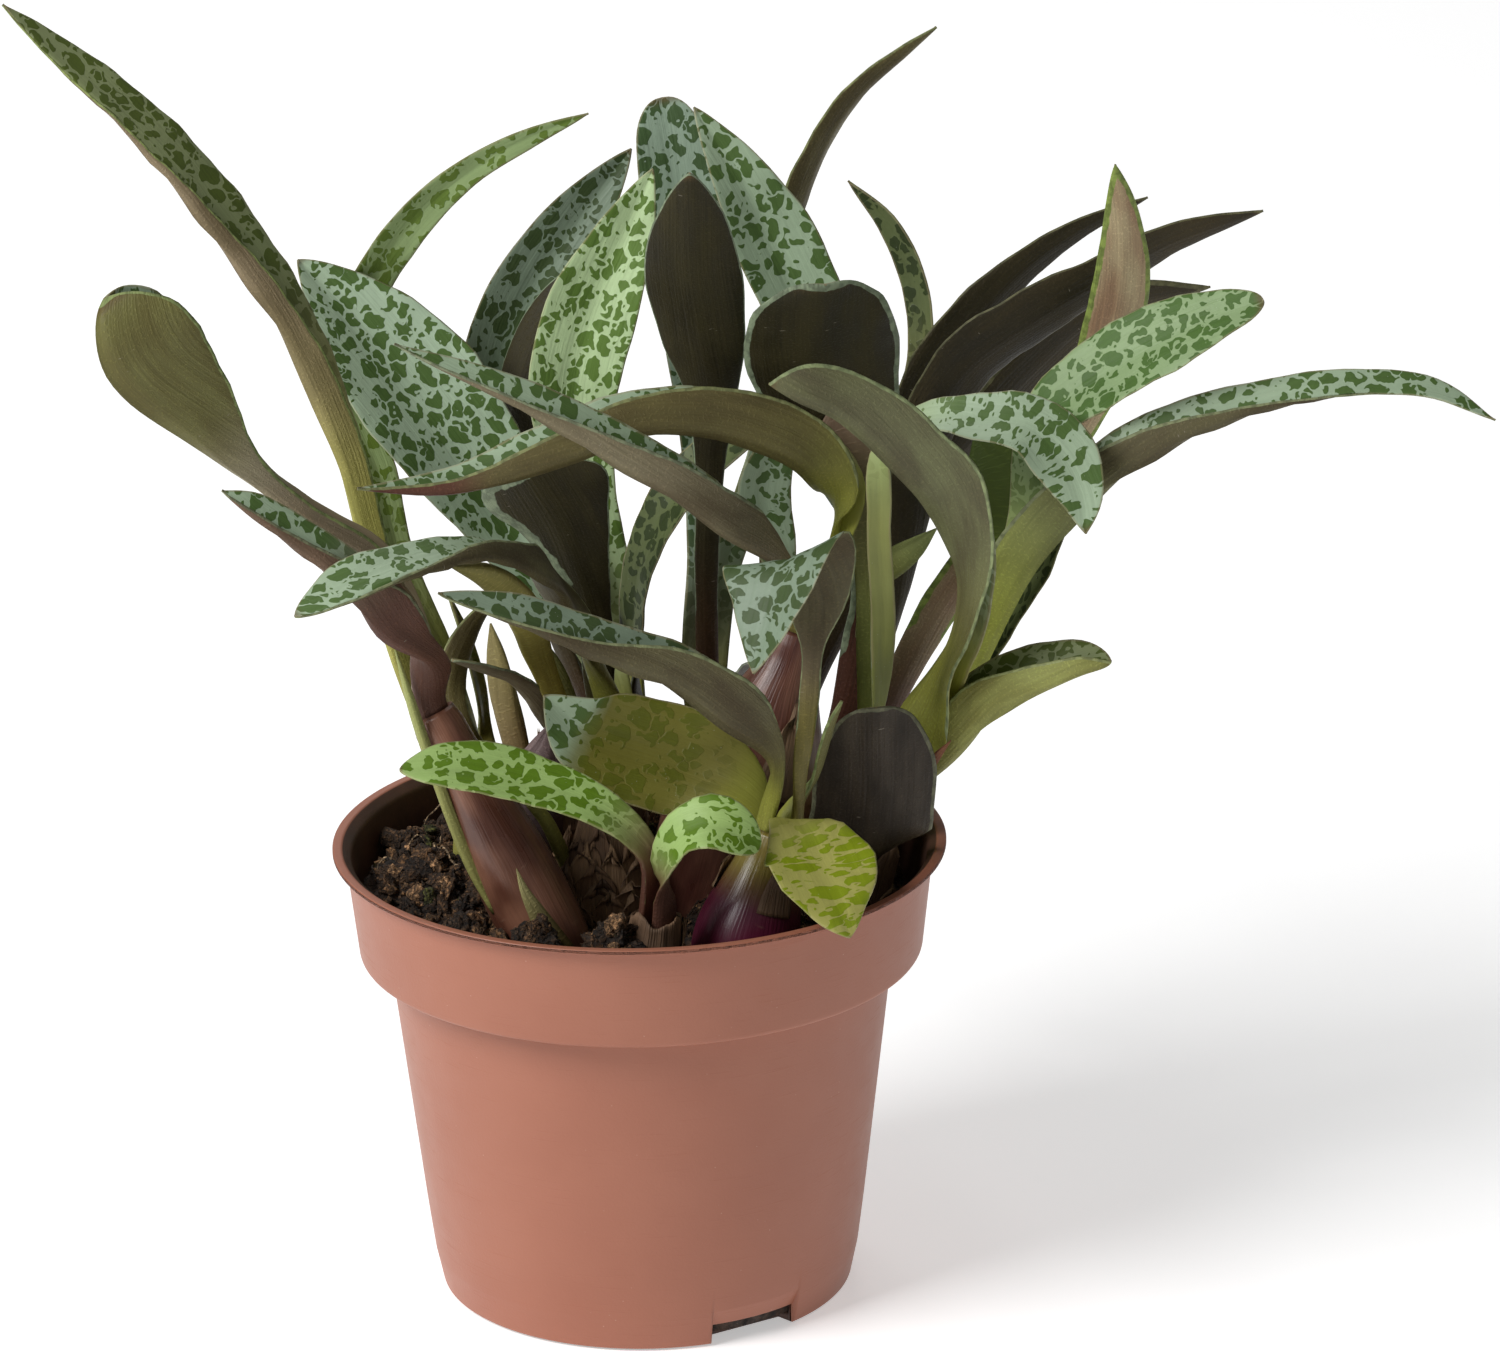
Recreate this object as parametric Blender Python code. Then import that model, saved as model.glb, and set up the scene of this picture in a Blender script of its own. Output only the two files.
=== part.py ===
"""A silver squill in a 12 cm nursery pot, as separate solids.

Lengths in this file are millimetres until add_object turns a finished mesh into
metres. +Z is up, the viewer stands on the -Y side, and the origin is the middle
of the flat face that the pot rests on.
"""
import math

import bmesh
import bpy
import numpy as np
from mathutils import Vector

MM = 0.001
GAP = 0.3

# Pot
LIP_R = 60.0
POT_HEIGHT = 91.0
LIP_HEIGHT = 0.9
LIP_WIDTH = 1.75
BAND_TOP_R = 57.6
BAND_LOW_R = 55.2
BAND_LOW_Z = 69.2
BODY_TOP_R = 49.5
BODY_LOW_R = 43.2
BODY_LOW_Z = 16.0
SEAM_R = 42.0
SEAM_Z = 7.0
FOOT_R = 40.5
FOOT_EDGE = 0.9
WALL = 1.3
FLOOR = 1.6
POT_SIDES = 40
DRAIN_AZIMUTH = 31.7
DRAIN_WIDTH = 18.8
DRAIN_HEIGHT = 4.0
DRAIN_INNER_R = 35.5

# Soil
SOIL_TOP = 78.0
SOIL_MOUND = 5.0
SOIL_MOUND_AT = (-42.0, 22.0)
SOIL_MOUND_R = 17.0
SOIL_SIDES = 30
SOIL_RINGS = 7

# Bulbs and the sockets in their necks
BULB_SIDES = 12
BULB_RINGS = 7
SOCKET_DEPTH = 7.0
SOCKET_PLAY = 0.5
SOCKET_WALL = 0.8
LEAF_FOOT_RISE = 0.5
LEAF_NECK_RISE = 3.0

# Leaves
BASE_THICK = 1.4
BLADE_THICK = 0.8
TIP_THICK = 0.6
TIP_WIDTH = 1.2
SECTOR_GAP = 4.0
WIDEST_SECTOR = 70.0
STATION_STEP = 13.0
OPEN_BY = 0.38
ROUNDED_FROM = 1.7
TIP_STEPS = (5.5, 1.7)
FACETS_ACROSS = 4
EYE = (22.0, 1500.0, 659.3)


def leaf(points, face=None, tip=1.3, cup=24.0, fold=0.0, hold=1.0):
    """One leaf: rows of (across, up, behind, width) from its neck to its tip.

    Across and up are read on the upright plane through the pot's axis, as it is
    seen from the eye point, and behind is how far the leaf lies past that plane.
    face is roughly where the spotted upper side looks; tip is 1 for a sharp end
    and 2 for a round one; cup and fold are in degrees. Past the share hold of
    its length a blade that flops over no longer keeps to face.
    """
    return {"points": points, "face": face, "tip": tip, "cup": cup, "fold": fold,
            "hold": hold}


SHOOTS = {
    "left": {
        "foot": (-11, -26, 66), "neck": (-37.8, -17, 121), "belly": 8.3, "peak": 0.36,
        "leaves": {
            "spoon": leaf([(-42, 134, -16, 5), (-49, 150, -19, 5.5), (-64, 160, -24, 6),
                           (-74, 169, -28, 7), (-83, 179.5, -33, 14), (-92, 190.5, -37, 20),
                           (-96, 197, -39, 19), (-100, 203, -41, 0)],
                          face=(0.3, -0.6, 0.7), tip=2.2, cup=18),
            "hood": leaf([(-40, 126, -23, 10.5), (-43, 132, -26, 13), (-48, 139, -29, 12.5),
                          (-55, 147, -32, 8.5), (-66, 156, -34.5, 6.5), (-73, 161, -36.5, 5),
                          (-79, 164, -37.5, 0)], face=(0.25, -0.6, 0.7), cup=18),
        }},
    "slender": {
        "foot": (-33.5, 12, 68), "neck": (-33.7, 12, 81), "belly": None,
        "leaves": {
            "tall": leaf([(-35.5, 95, 12, 5), (-40, 109, 13, 5), (-47, 133, 15, 6),
                          (-51, 153, 17, 7.5), (-56, 176, 20, 9.5), (-64, 197, 24, 12),
                          (-77, 219, 29, 13.5), (-95, 241, 35, 11), (-107, 252, 38, 7),
                          (-117, 261, 40, 0)], face=(0.75, -0.4, 0.55), cup=38),
        }},
    "rear_left": {
        "foot": (-22, 27, 61), "neck": (-29, 36, 87), "belly": 6.5, "peak": 0.42,
        "leaves": {
            "ribbon": leaf([(-32, 109, 37, 5.5), (-38, 131, 39, 6), (-45, 149, 42, 6.5),
                            (-49, 167, 46, 8), (-54, 182, 50, 10.5), (-54, 196, 54, 10),
                            (-49, 206, 57, 9), (-42, 216, 59, 8.5), (-30, 227, 62, 6),
                            (-18, 233.5, 65, 4), (-7, 238, 68, 0)], face=(0.5, -0.7, 0.3)),
            "sickle": leaf([(-33, 112, 31, 5), (-36, 122, 29, 6), (-33, 133, 27, 6),
                            (-26, 143, 25, 0)], cup=30),
            "thin": leaf([(-29, 110, 42, 4), (-30.5, 122, 42, 4.5), (-33, 133, 43, 3.5),
                          (-36, 142, 44, 0)], cup=30),
        }},
    "centre": {
        "foot": (-6.7, 24, 61), "neck": (-5, 31, 87), "belly": 6.5, "peak": 0.42,
        "leaves": {
            "strap": leaf([(-2, 108, 22, 5.5), (-6.5, 122, 14, 6.5), (-13, 135, 6, 8),
                           (-20, 146, -9, 9.5), (-30, 151, -21, 10.5), (-41, 149.5, -31, 11),
                           (-55, 145, -40, 10.5), (-66, 138, -45, 0)],
                          face=(0.1, -0.25, 1.0), tip=1.7),
            "broad": leaf([(-3.5, 120, 33, 7), (-10, 136, 36, 11), (-24, 155, 40, 19),
                           (-35, 173, 43, 27), (-44, 186, 46, 29), (-53, 198, 50, 20),
                           (-63, 210, 54, 0)], face=(0.35, -0.8, 0.45), cup=14, fold=10),
            "fan": leaf([(-7.5, 124, 24, 6.5), (-7.6, 133, 21, 7.5), (-9, 141, 18, 9),
                         (-11.5, 149, 15, 14.5), (-14.5, 156.5, 12.5, 21),
                         (-18, 163, 10.5, 28), (-20.5, 167.5, 9, 0)],
                        face=(0.25, 0.95, 0.25), tip=2.6, cup=20),
            "tongue": leaf([(-14.5, 110, 31, 5), (-19, 118.5, 19, 7), (-24, 124, 7, 8.5),
                            (-31, 127, -3, 7.5), (-35.5, 128.5, -7, 0)], tip=2.2, cup=30),
        }},
    "inner": {
        "foot": (-6.5, 36.5, 61), "neck": (-3, 46, 87), "belly": 6.4, "peak": 0.42,
        "leaves": {
            "bright": leaf([(1, 120, 48, 5.5), (-3, 142, 48, 7), (-9, 163, 46, 12),
                            (-11.5, 181, 46, 18), (-8, 197, 48, 19), (-1, 213, 51, 13),
                            (5, 227, 54, 0)], face=(0.15, -0.9, 0.4), cup=16, fold=6),
            "blue": leaf([(-8, 120, 54, 5.5), (-18, 148, 58, 8), (-25, 172, 61, 14),
                          (-24, 190, 64, 18), (-17, 206, 67, 17), (-8, 219, 70, 12),
                          (1, 231, 73, 0)], face=(0.2, -0.9, 0.4), cup=18, fold=8),
            "shade": leaf([(-12, 124, 48, 5), (-19, 148, 51, 7), (-23, 172, 53, 10),
                           (-20, 188, 55, 11), (-15, 199, 57, 9), (-9, 209, 59, 0)],
                          face=(0.4, 0.7, 0.2)),
            "under": leaf([(0, 122, 39, 5.5), (0, 140, 37, 8), (4, 154, 33.5, 11),
                           (13, 167, 32, 11), (23, 175, 31, 9), (31, 181, 31, 0)],
                          face=(-0.5, -0.6, 0.6)),
            "rear_arch": leaf([(-3, 121, 59, 6), (-11, 137, 68, 8), (-20, 152, 80, 13),
                               (-25, 163, 92, 13), (-30, 168, 106, 0)], cup=20),
        }},
    "tall": {
        "foot": (4, 25.5, 61), "neck": (12, 34, 87), "belly": 6.5, "peak": 0.42,
        "leaves": {
            "dark": leaf([(14, 122, 33, 5), (14, 148, 28, 5), (15, 168, 22, 6.5),
                          (15.5, 181, 17, 10.5), (13.5, 195, 11, 18), (12, 208, 5, 19),
                          (12, 218, 1, 12), (12, 226, -3, 0)], tip=1.4, cup=26),
            "round_top": leaf([(10, 124, 46, 5.5), (13, 150, 52, 6), (13.5, 178, 59, 10),
                               (12.5, 200, 66, 15), (10, 220, 71, 15.5), (8, 235, 75, 13),
                               (7, 241, 77, 0)], face=(0.05, -0.9, 0.3), tip=2.6, cup=14),
            "leaning": leaf([(15.5, 124, 39, 5.5), (18, 148, 44, 6), (27, 172, 50, 10),
                             (34, 194, 55, 17), (28, 211, 59, 18), (20, 227, 62, 11),
                             (13, 239, 65, 0)], face=(0.25, -0.9, 0.3), cup=14, fold=10),
        }},
    "rear": {
        "foot": (15.6, 30.7, 61), "neck": (26, 42, 87), "belly": 6.5, "peak": 0.42,
        "leaves": {
            "spear": leaf([(26, 124, 50, 5), (27, 152, 60, 6), (28, 182, 69, 8),
                           (31, 214, 76, 9.5), (37, 230, 79, 9), (45, 242, 82, 7),
                           (53, 249, 85, 4), (59, 254, 87, 0)], face=(-0.7, 0.6, 0.3), cup=40),
            "edge": leaf([(30, 124, 51, 5), (42, 150, 53, 6), (52, 172, 56, 6.5),
                          (56, 190, 59, 6.5), (55, 203, 62, 6.5), (50, 215, 65, 5),
                          (42, 224, 68, 0)], face=(-0.5, -0.7, 0.2), cup=30),
            "far_dark": leaf([(33, 119, 41, 5), (48, 148, 48, 6.5), (64, 171, 54, 9.5),
                              (78, 187, 58, 12), (91, 198, 62, 10), (111, 202, 66, 0)],
                             face=(-0.3, 0.9, 0.3)),
            "rear_droop": leaf([(27, 119, 56, 6), (27, 126, 66, 10), (26, 125, 80, 16),
                                (25, 117, 95, 13), (24, 106, 108, 0)], cup=18),
        }},
    "main": {
        "foot": (9, 3, 64), "neck": (31, 8, 128), "belly": 14.2, "peak": 0.55,
        "leaves": {
            "arch": leaf([(30, 141, 3, 8), (26, 149, -3, 9.5), (18, 157, -10, 9.5),
                          (8, 165, -16, 9.5), (-6, 174, -21, 8.5), (-22, 183, -25, 6),
                          (-45, 193, -29, 0)], face=(-0.1, -0.62, 0.75), cup=18),
            "long_arch": leaf([(36, 138, 12, 6.5), (39.5, 149, 14, 6.5), (41.5, 160, 13, 8.5),
                               (37, 168, 9, 10), (28, 174, 5, 11), (13, 178, 0, 11),
                               (-2, 177, -5, 11), (-14, 172.5, -8, 10), (-35, 165, -12, 6),
                               (-53, 164, -16, 0)], face=(-0.1, -0.62, 0.75), cup=18),
            "wilted": leaf([(29, 143, 12, 5), (27, 152, 14, 9), (25, 161, 15, 11),
                            (27, 169, 15, 9), (31, 176, 15, 0)], face=(0.2, -0.8, 0.3)),
        }},
    "far": {
        "foot": (28, 22.3, 61), "neck": (35, 31, 87), "belly": 6.5, "peak": 0.42,
        "leaves": {
            "paddle": leaf([(39, 114, 27, 6), (43, 130, 27, 6.5), (45, 146, 26, 6.5),
                            (44, 157, 24, 9), (41.5, 166, 21, 16), (39, 178, 16, 27),
                            (37, 189.5, 10, 30.5), (36.7, 198, 5, 26), (37.5, 203.5, 2, 0)],
                           tip=2.6, cup=22),
            "rear_right": leaf([(41, 118, 38, 5), (46, 136, 41, 6), (49, 155, 43, 8),
                                (54, 174, 45, 13), (62, 190, 47, 14), (72, 203, 48, 9.5),
                                (85, 213, 50, 5.5), (99, 220, 52, 0)],
                               face=(-0.4, 0.9, 0.2), cup=22),
            "long_dark": leaf([(45, 117, 33, 5), (50, 135, 33, 6), (53, 152, 34, 8),
                               (56, 170, 35, 12), (64, 186, 36, 15), (77, 196, 37, 14),
                               (91, 204, 38, 11), (103, 211, 39, 8), (121, 217, 40, 0)],
                              face=(-0.3, 0.9, 0.3), cup=22),
            "upright": leaf([(45, 109, 26, 6.5), (52, 124, 28, 8), (60, 139, 30, 9),
                             (72, 156, 31, 9.5), (84, 172, 30, 10), (92, 191, 27, 12.5),
                             (94.3, 203, 25, 11.8), (94.2, 216, 23, 7.5), (92.8, 226.5, 21, 0)],
                            face=(-0.2, 0.95, 0.2), cup=20),
        }},
    "side": {
        "foot": (34.3, 11, 61), "neck": (43, 18, 87), "belly": 6.2, "peak": 0.42,
        "leaves": {
            "spotted": leaf([(52, 106, 17, 5), (61, 123, 14, 5.5), (71, 141, 10, 6),
                             (76, 158, 6, 8), (81, 177, 3, 13.5), (91.5, 185.5, 1, 17),
                             (104.5, 192.5, -1, 16.5), (114, 196.5, -2, 11),
                             (121.3, 199, -3, 0)], face=(-0.2, -0.6, 0.75), tip=2.1, cup=14),
            "crest": leaf([(46, 114, 11, 5), (48, 134, 8, 5), (47.5, 156, 5, 5),
                           (49, 171, 2, 5), (57, 176.5, -3, 6), (67, 176, -8, 9),
                           (76, 174.5, -11, 15.5), (83, 167.5, -14, 16.5),
                           (86.5, 159.5, -17, 10.5), (87.3, 152.5, -19, 0)],
                          face=(-0.1, -0.5, 0.85), tip=1.2, cup=20),
            "shaded": leaf([(52, 106, 26, 6), (63, 122, 22, 8), (72, 138, 20, 12),
                            (79, 153, 18, 15), (83, 166, 17, 11), (84, 178, 17, 0)],
                           face=(-0.6, -0.6, 0.4)),
        }},
    "right": {
        "foot": (36.5, -1, 61), "neck": (46, 4, 87), "belly": 6.2, "peak": 0.42,
        "leaves": {
            "whip": leaf([(55, 109, 8, 5.5), (63, 122, 4, 6), (70.5, 138, 0, 7),
                          (76, 149.5, -3, 8.5), (82, 157.5, -4, 9.5), (97, 170.5, -5, 9.5),
                          (124, 180.5, -4, 6.5), (140, 182.5, -3, 5.5), (154, 181, -2, 4.5),
                          (166, 174.5, -1, 0)], face=(-0.15, -0.62, 0.75), cup=18),
            "hook": leaf([(51, 110, -4, 8), (60.3, 122.5, -8, 8.5), (65.3, 135, -12, 9),
                          (66, 144, -15, 10), (64.5, 152, -18, 11), (60.5, 161, -21, 11.5),
                          (54.5, 168.5, -24, 11.5), (47, 176, -27, 10.5), (40, 180.5, -29, 9),
                          (32, 183, -31, 6.5), (26.5, 184, -32, 0)], face=(-0.3, -0.6, 0.7), cup=18),
            "low": leaf([(55, 102, -4, 6.5), (61, 111, -8, 9), (67, 119, -11, 12),
                         (73.5, 123, -14, 11.5), (80.5, 125.5, -16, 10), (87, 127, -17.5, 7.5),
                         (92.3, 126.5, -18.5, 0)], face=(-0.2, -0.6, 0.75), tip=1.8, cup=18),
        }},
    "corner": {
        "foot": (36, -14, 58), "neck": (40.5, -13.5, 80), "belly": 5.6, "peak": 0.42,
        "leaves": {
            "shield": leaf([(43.5, 81, -14, 21), (45, 89, -15.5, 25), (46, 97, -17, 24.5),
                            (46.5, 106, -19, 23), (46.5, 112, -21, 18.5),
                            (46.5, 117.5, -23, 0)], face=(-0.1, 0.95, 0.1), tip=2.6, cup=18),
        }},
    "front": {
        "foot": (16, -31, 66), "neck": (26, -26, 99), "belly": 10.2, "peak": 0.45,
        "leaves": {
            "stalked": leaf([(32, 106, -27, 5.5), (33.5, 119.5, -25, 5.5),
                             (34.3, 131.5, -23, 8), (34.5, 140, -22, 16), (32, 147, -24, 24),
                             (29, 148, -30, 26), (26, 138, -37, 17), (22.7, 124.8, -41, 0)],
                            face=(0.15, 0.97, 0.1), tip=1.2, cup=16, hold=0.42),
            "long_front": leaf([(26, 108, -31, 9), (20.5, 116, -34, 10), (9, 125.5, -37, 10),
                                (-7, 132, -41, 9), (-22, 138.5, -45, 6.5), (-38, 142.5, -48, 0)],
                               face=(0.1, -0.62, 0.75), tip=1.6, cup=18),
            "yellow": leaf([(31, 93, -36, 13), (34, 87, -40, 22), (37, 80.5, -47, 20),
                            (39.5, 74.5, -51, 11), (41, 69.5, -52, 0)],
                           face=(0.3, -0.65, 0.7), cup=10),
            "apron": leaf([(21, 99, -21, 12), (12, 105, -18, 21), (0, 109, -17, 22),
                           (-10, 113, -18, 17), (-18, 121, -19, 0)], face=(-0.1, -0.85, 0.5),
                          cup=12, fold=6),
            "bud": leaf([(35, 104, -22.5, 3.5), (36.8, 110, -24.5, 4.5), (38.3, 115, -26, 4),
                         (39.8, 119, -27.5, 0)], cup=34),
        }},
    "tan": {
        "foot": (0, -39, 64), "neck": (3.5, -41, 90), "belly": 6.6, "peak": 0.5,
        "leaves": {
            "low_left": leaf([(1.5, 87, -40, 6), (-2, 92.5, -39, 7.5), (-9, 98, -38, 10),
                              (-22, 103.5, -37, 13), (-36, 106.5, -37, 12),
                              (-46.5, 106, -37, 0)], face=(0.05, -0.5, 0.87), tip=1.7, cup=14),
            "low_right": leaf([(5, 87, -43, 7), (9, 92.5, -45, 11), (14.5, 94, -46, 12.5),
                               (20, 91.5, -46, 9.5), (23.5, 88.5, -45, 0)],
                              face=(-0.1, -0.6, 0.8), tip=2, cup=14),
        }},
    "papery": {
        "foot": (-15, 9, 64), "neck": (-16, 13, 108), "belly": 8.0, "peak": 0.5,
        "tip_radius": 2.5, "leaves": {}},
    "old": {
        "foot": (-7, -6, 64), "neck": (-7, -4, 98), "belly": 9.0, "peak": 0.5,
        "tip_radius": 4.5, "leaves": {}},
}


def clear_scene():
    for item in list(bpy.data.objects):
        bpy.data.objects.remove(item, do_unlink=True)


def material(name, colour, roughness):
    skin = bpy.data.materials.new(name)
    skin.use_nodes = True
    shader = skin.node_tree.nodes["Principled BSDF"]
    shader.inputs["Base Color"].default_value = (*colour, 1.0)
    shader.inputs["Roughness"].default_value = roughness
    shader.inputs["Metallic"].default_value = 0.0
    return skin


def add_object(name, points, faces, skins):
    """A mesh object from points in millimetres, its vertices set in metres."""
    mesh = bpy.data.meshes.new(name)
    mesh.from_pydata([tuple(point) for point in np.asarray(points) * MM], [], faces)
    for skin in skins:
        mesh.materials.append(skin)
    item = bpy.data.objects.new(name, mesh)
    bpy.context.scene.collection.objects.link(item)
    return item


def turned(name, profile, sides, skins):
    """Spin a profile of (radius, height) once round Z and close it on the axis."""
    bm = bmesh.new()
    rail = [bm.verts.new((radius, 0.0, height)) for radius, height in profile]
    edges = [bm.edges.new(pair) for pair in zip(rail, rail[1:])]
    bmesh.ops.spin(bm, geom=rail + edges, cent=(0, 0, 0), axis=(0, 0, 1),
                   angle=2 * math.pi, steps=sides, use_duplicate=False)
    bmesh.ops.remove_doubles(bm, verts=bm.verts, dist=1e-4)
    bmesh.ops.recalc_face_normals(bm, faces=bm.faces)
    bmesh.ops.scale(bm, vec=(MM, MM, MM), verts=bm.verts)
    mesh = bpy.data.meshes.new(name)
    bm.to_mesh(mesh)
    bm.free()
    for skin in skins:
        mesh.materials.append(skin)
    mesh.shade_smooth()
    item = bpy.data.objects.new(name, mesh)
    bpy.context.scene.collection.objects.link(item)
    return item


def hide_cutter(cutter):
    cutter.hide_render = True
    cutter.display_type = "WIRE"


def stand_between(item, foot, neck):
    """Place a turned object so that its Z axis runs from foot to neck."""
    axis = Vector(neck) - Vector(foot)
    item.location = Vector(foot) * MM
    item.rotation_mode = "QUATERNION"
    item.rotation_quaternion = axis.to_track_quat("Z", "Y")


def pot_profile():
    inner_band_top = BAND_TOP_R - WALL
    inner_band_low = BAND_LOW_R - WALL
    return [
        (0.0, 0.0),
        (FOOT_R - FOOT_EDGE, 0.0),
        (FOOT_R, FOOT_EDGE),
        (SEAM_R, SEAM_Z),
        (BODY_LOW_R, BODY_LOW_Z),
        (BODY_TOP_R, BAND_LOW_Z - 0.2),
        (BAND_LOW_R, BAND_LOW_Z),
        (BAND_TOP_R, POT_HEIGHT - LIP_HEIGHT),
        (LIP_R, POT_HEIGHT - LIP_HEIGHT),
        (LIP_R, POT_HEIGHT),
        (LIP_R - LIP_WIDTH, POT_HEIGHT),
        (inner_band_top, POT_HEIGHT - LIP_WIDTH),
        (inner_band_low, BAND_LOW_Z + WALL),
        (BODY_TOP_R - WALL, BAND_LOW_Z + WALL - 0.2),
        (BODY_LOW_R - WALL, BODY_LOW_Z),
        (SEAM_R - WALL, SEAM_Z),
        (FOOT_R - WALL, FLOOR),
        (0.0, FLOOR),
    ]


def add_pot():
    """The moulded pot, with a drain slot under each of two opposite edges."""
    skin = material("pot_plastic", (0.448, 0.162, 0.107), 0.42)
    pot = turned("pot", pot_profile(), POT_SIDES, [skin])
    pot.data.set_sharp_from_angle(angle=math.radians(35))
    slot_depth = FOOT_R - DRAIN_INNER_R + 4.0
    for number, turn in enumerate((DRAIN_AZIMUTH, DRAIN_AZIMUTH + 180.0), start=1):
        angle = math.radians(turn)
        outward = Vector((math.sin(angle), -math.cos(angle), 0.0))
        middle = outward * (DRAIN_INNER_R + slot_depth / 2)
        middle.z = DRAIN_HEIGHT / 2 - 1.0
        bpy.ops.mesh.primitive_cube_add(size=1.0, location=middle * MM)
        cutter = bpy.context.object
        cutter.name = f"drain_cutter_{number}"
        size = (DRAIN_WIDTH, slot_depth, DRAIN_HEIGHT + 2.0)
        for vertex in cutter.data.vertices:
            vertex.co = Vector([c * s * MM for c, s in zip(vertex.co, size)])
        cutter.rotation_euler = (0.0, 0.0, angle)
        hide_cutter(cutter)
        cut = pot.modifiers.new(f"drain_{number}", "BOOLEAN")
        cut.operation = "DIFFERENCE"
        cut.solver = "EXACT"
        cut.object = cutter


def soil_height(x, y):
    """Flat peat with one mound and small crumbs from a few crossed waves."""
    away = (x - SOIL_MOUND_AT[0]) ** 2 + (y - SOIL_MOUND_AT[1]) ** 2
    mound = SOIL_MOUND * np.exp(-away / (2 * SOIL_MOUND_R ** 2))
    crumbs = 0.7 * np.sin(0.45 * x + 1.3) * np.sin(0.52 * y + 0.4)
    return SOIL_TOP + mound + crumbs + 0.4 * np.sin(0.9 * x - 0.7 * y)


def add_soil(cutters):
    """Peat that fills the pot, with a plain hole for every bulb and stem."""
    skin = material("peat", (0.022, 0.014, 0.009), 0.95)
    shelf_z = BAND_LOW_Z + WALL + GAP
    side = [
        (FOOT_R - WALL - GAP, FLOOR + GAP),
        (SEAM_R - WALL - GAP, SEAM_Z),
        (BODY_LOW_R - WALL - GAP, BODY_LOW_Z),
        (BODY_TOP_R - WALL - GAP, shelf_z),
        (BAND_LOW_R - WALL - GAP, shelf_z),
    ]
    slope = (BAND_TOP_R - BAND_LOW_R) / (POT_HEIGHT - LIP_HEIGHT - BAND_LOW_Z)
    edge_r = BAND_LOW_R - WALL - GAP - 0.1 + slope * (SOIL_TOP - 1.5 - shelf_z)
    turn = np.linspace(0.0, 2 * math.pi, SOIL_SIDES, endpoint=False)
    points = [(0.0, 0.0, FLOOR + GAP)]
    for radius, height in side:
        points += [(radius * math.cos(a), radius * math.sin(a), height) for a in turn]
    for ring in range(SOIL_RINGS, 0, -1):
        radius = edge_r * ring / SOIL_RINGS
        x, y = radius * np.cos(turn), radius * np.sin(turn)
        points += list(zip(x, y, soil_height(x, y)))
    points.append((0.0, 0.0, float(soil_height(0.0, 0.0))))
    rows = len(side) + SOIL_RINGS
    last = len(points) - 1
    faces = []
    for i in range(SOIL_SIDES):
        j = (i + 1) % SOIL_SIDES
        faces.append((0, 1 + j, 1 + i))
        for row in range(rows - 1):
            low, high = 1 + row * SOIL_SIDES, 1 + (row + 1) * SOIL_SIDES
            faces.append((low + i, low + j, high + j))
            faces.append((low + i, high + j, high + i))
        top = 1 + (rows - 1) * SOIL_SIDES
        faces.append((top + i, top + j, last))
    soil = add_object("soil", points, faces, [skin])
    holes = bpy.data.collections.new("soil_holes")
    bpy.context.scene.collection.children.link(holes)
    for cutter in cutters:
        hide_cutter(cutter)
        bpy.context.scene.collection.objects.unlink(cutter)
        holes.objects.link(cutter)
    cut = soil.modifiers.new("holes", "BOOLEAN")
    cut.operation = "DIFFERENCE"
    cut.solver = "EXACT"
    cut.operand_type = "COLLECTION"
    cut.collection = holes


def ring_radius(count):
    """Radius of the ring in which the leaf bases of one neck stand."""
    return 2.2 + 0.35 * count


def socket_radius(count):
    return ring_radius(count) + BASE_THICK / 2 + SOCKET_PLAY


def bulb_outline(length, belly, peak, neck, grow):
    """Bulb profile: a parabola up to the belly, then a cosine in to the neck."""
    foot = 0.55 * belly
    rows = [(0.0, -grow)]
    for share in np.linspace(0.0, 1.0, BULB_RINGS + 1):
        if share < peak:
            radius = belly - (belly - foot) * (1 - share / peak) ** 2
        else:
            swing = math.cos(math.pi / 2 * (share - peak) / (1 - peak))
            radius = neck + (belly - neck) * swing ** 1.6
        height = share * length
        if share == 0.0:
            height -= grow
        if share == 1.0:
            height += grow
        rows.append((radius + grow, height))
    return rows


def add_bulb(name, shoot, skin):
    """One bulb with a blind socket for its leaves, and the cutter of its hole."""
    length = (Vector(shoot["neck"]) - Vector(shoot["foot"])).length
    count = len(shoot["leaves"])
    bore = socket_radius(count)
    neck = bore + SOCKET_WALL if count else shoot["tip_radius"]
    outline = bulb_outline(length, shoot["belly"], shoot["peak"], neck, 0.0)
    if count:
        outline.append((bore, length))
        outline.append((bore, length - SOCKET_DEPTH))
        outline.append((0.0, length - SOCKET_DEPTH))
    else:
        outline.append((0.0, length + 0.8))
    bulb = turned(f"bulb_{name}", outline, BULB_SIDES, [skin])
    bulb.data.set_sharp_from_angle(angle=math.radians(50))
    stand_between(bulb, shoot["foot"], shoot["neck"])
    grown = bulb_outline(length, shoot["belly"], shoot["peak"], neck, GAP)
    grown.append((0.0, length + GAP))
    cutter = turned(f"hole_{name}", grown, BULB_SIDES, [])
    stand_between(cutter, shoot["foot"], shoot["neck"])
    return cutter


def add_stem_hole(name, shoot):
    """The cutter of a plain round hole for a stem that stands in the soil."""
    length = (Vector(shoot["neck"]) - Vector(shoot["foot"])).length + 10.0
    bore = socket_radius(len(shoot["leaves"]))
    profile = [(0.0, 0.0), (bore, 0.0), (bore, length), (0.0, length)]
    cutter = turned(f"hole_{name}", profile, BULB_SIDES, [])
    stand_between(cutter, shoot["foot"], shoot["neck"])
    return cutter


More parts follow.
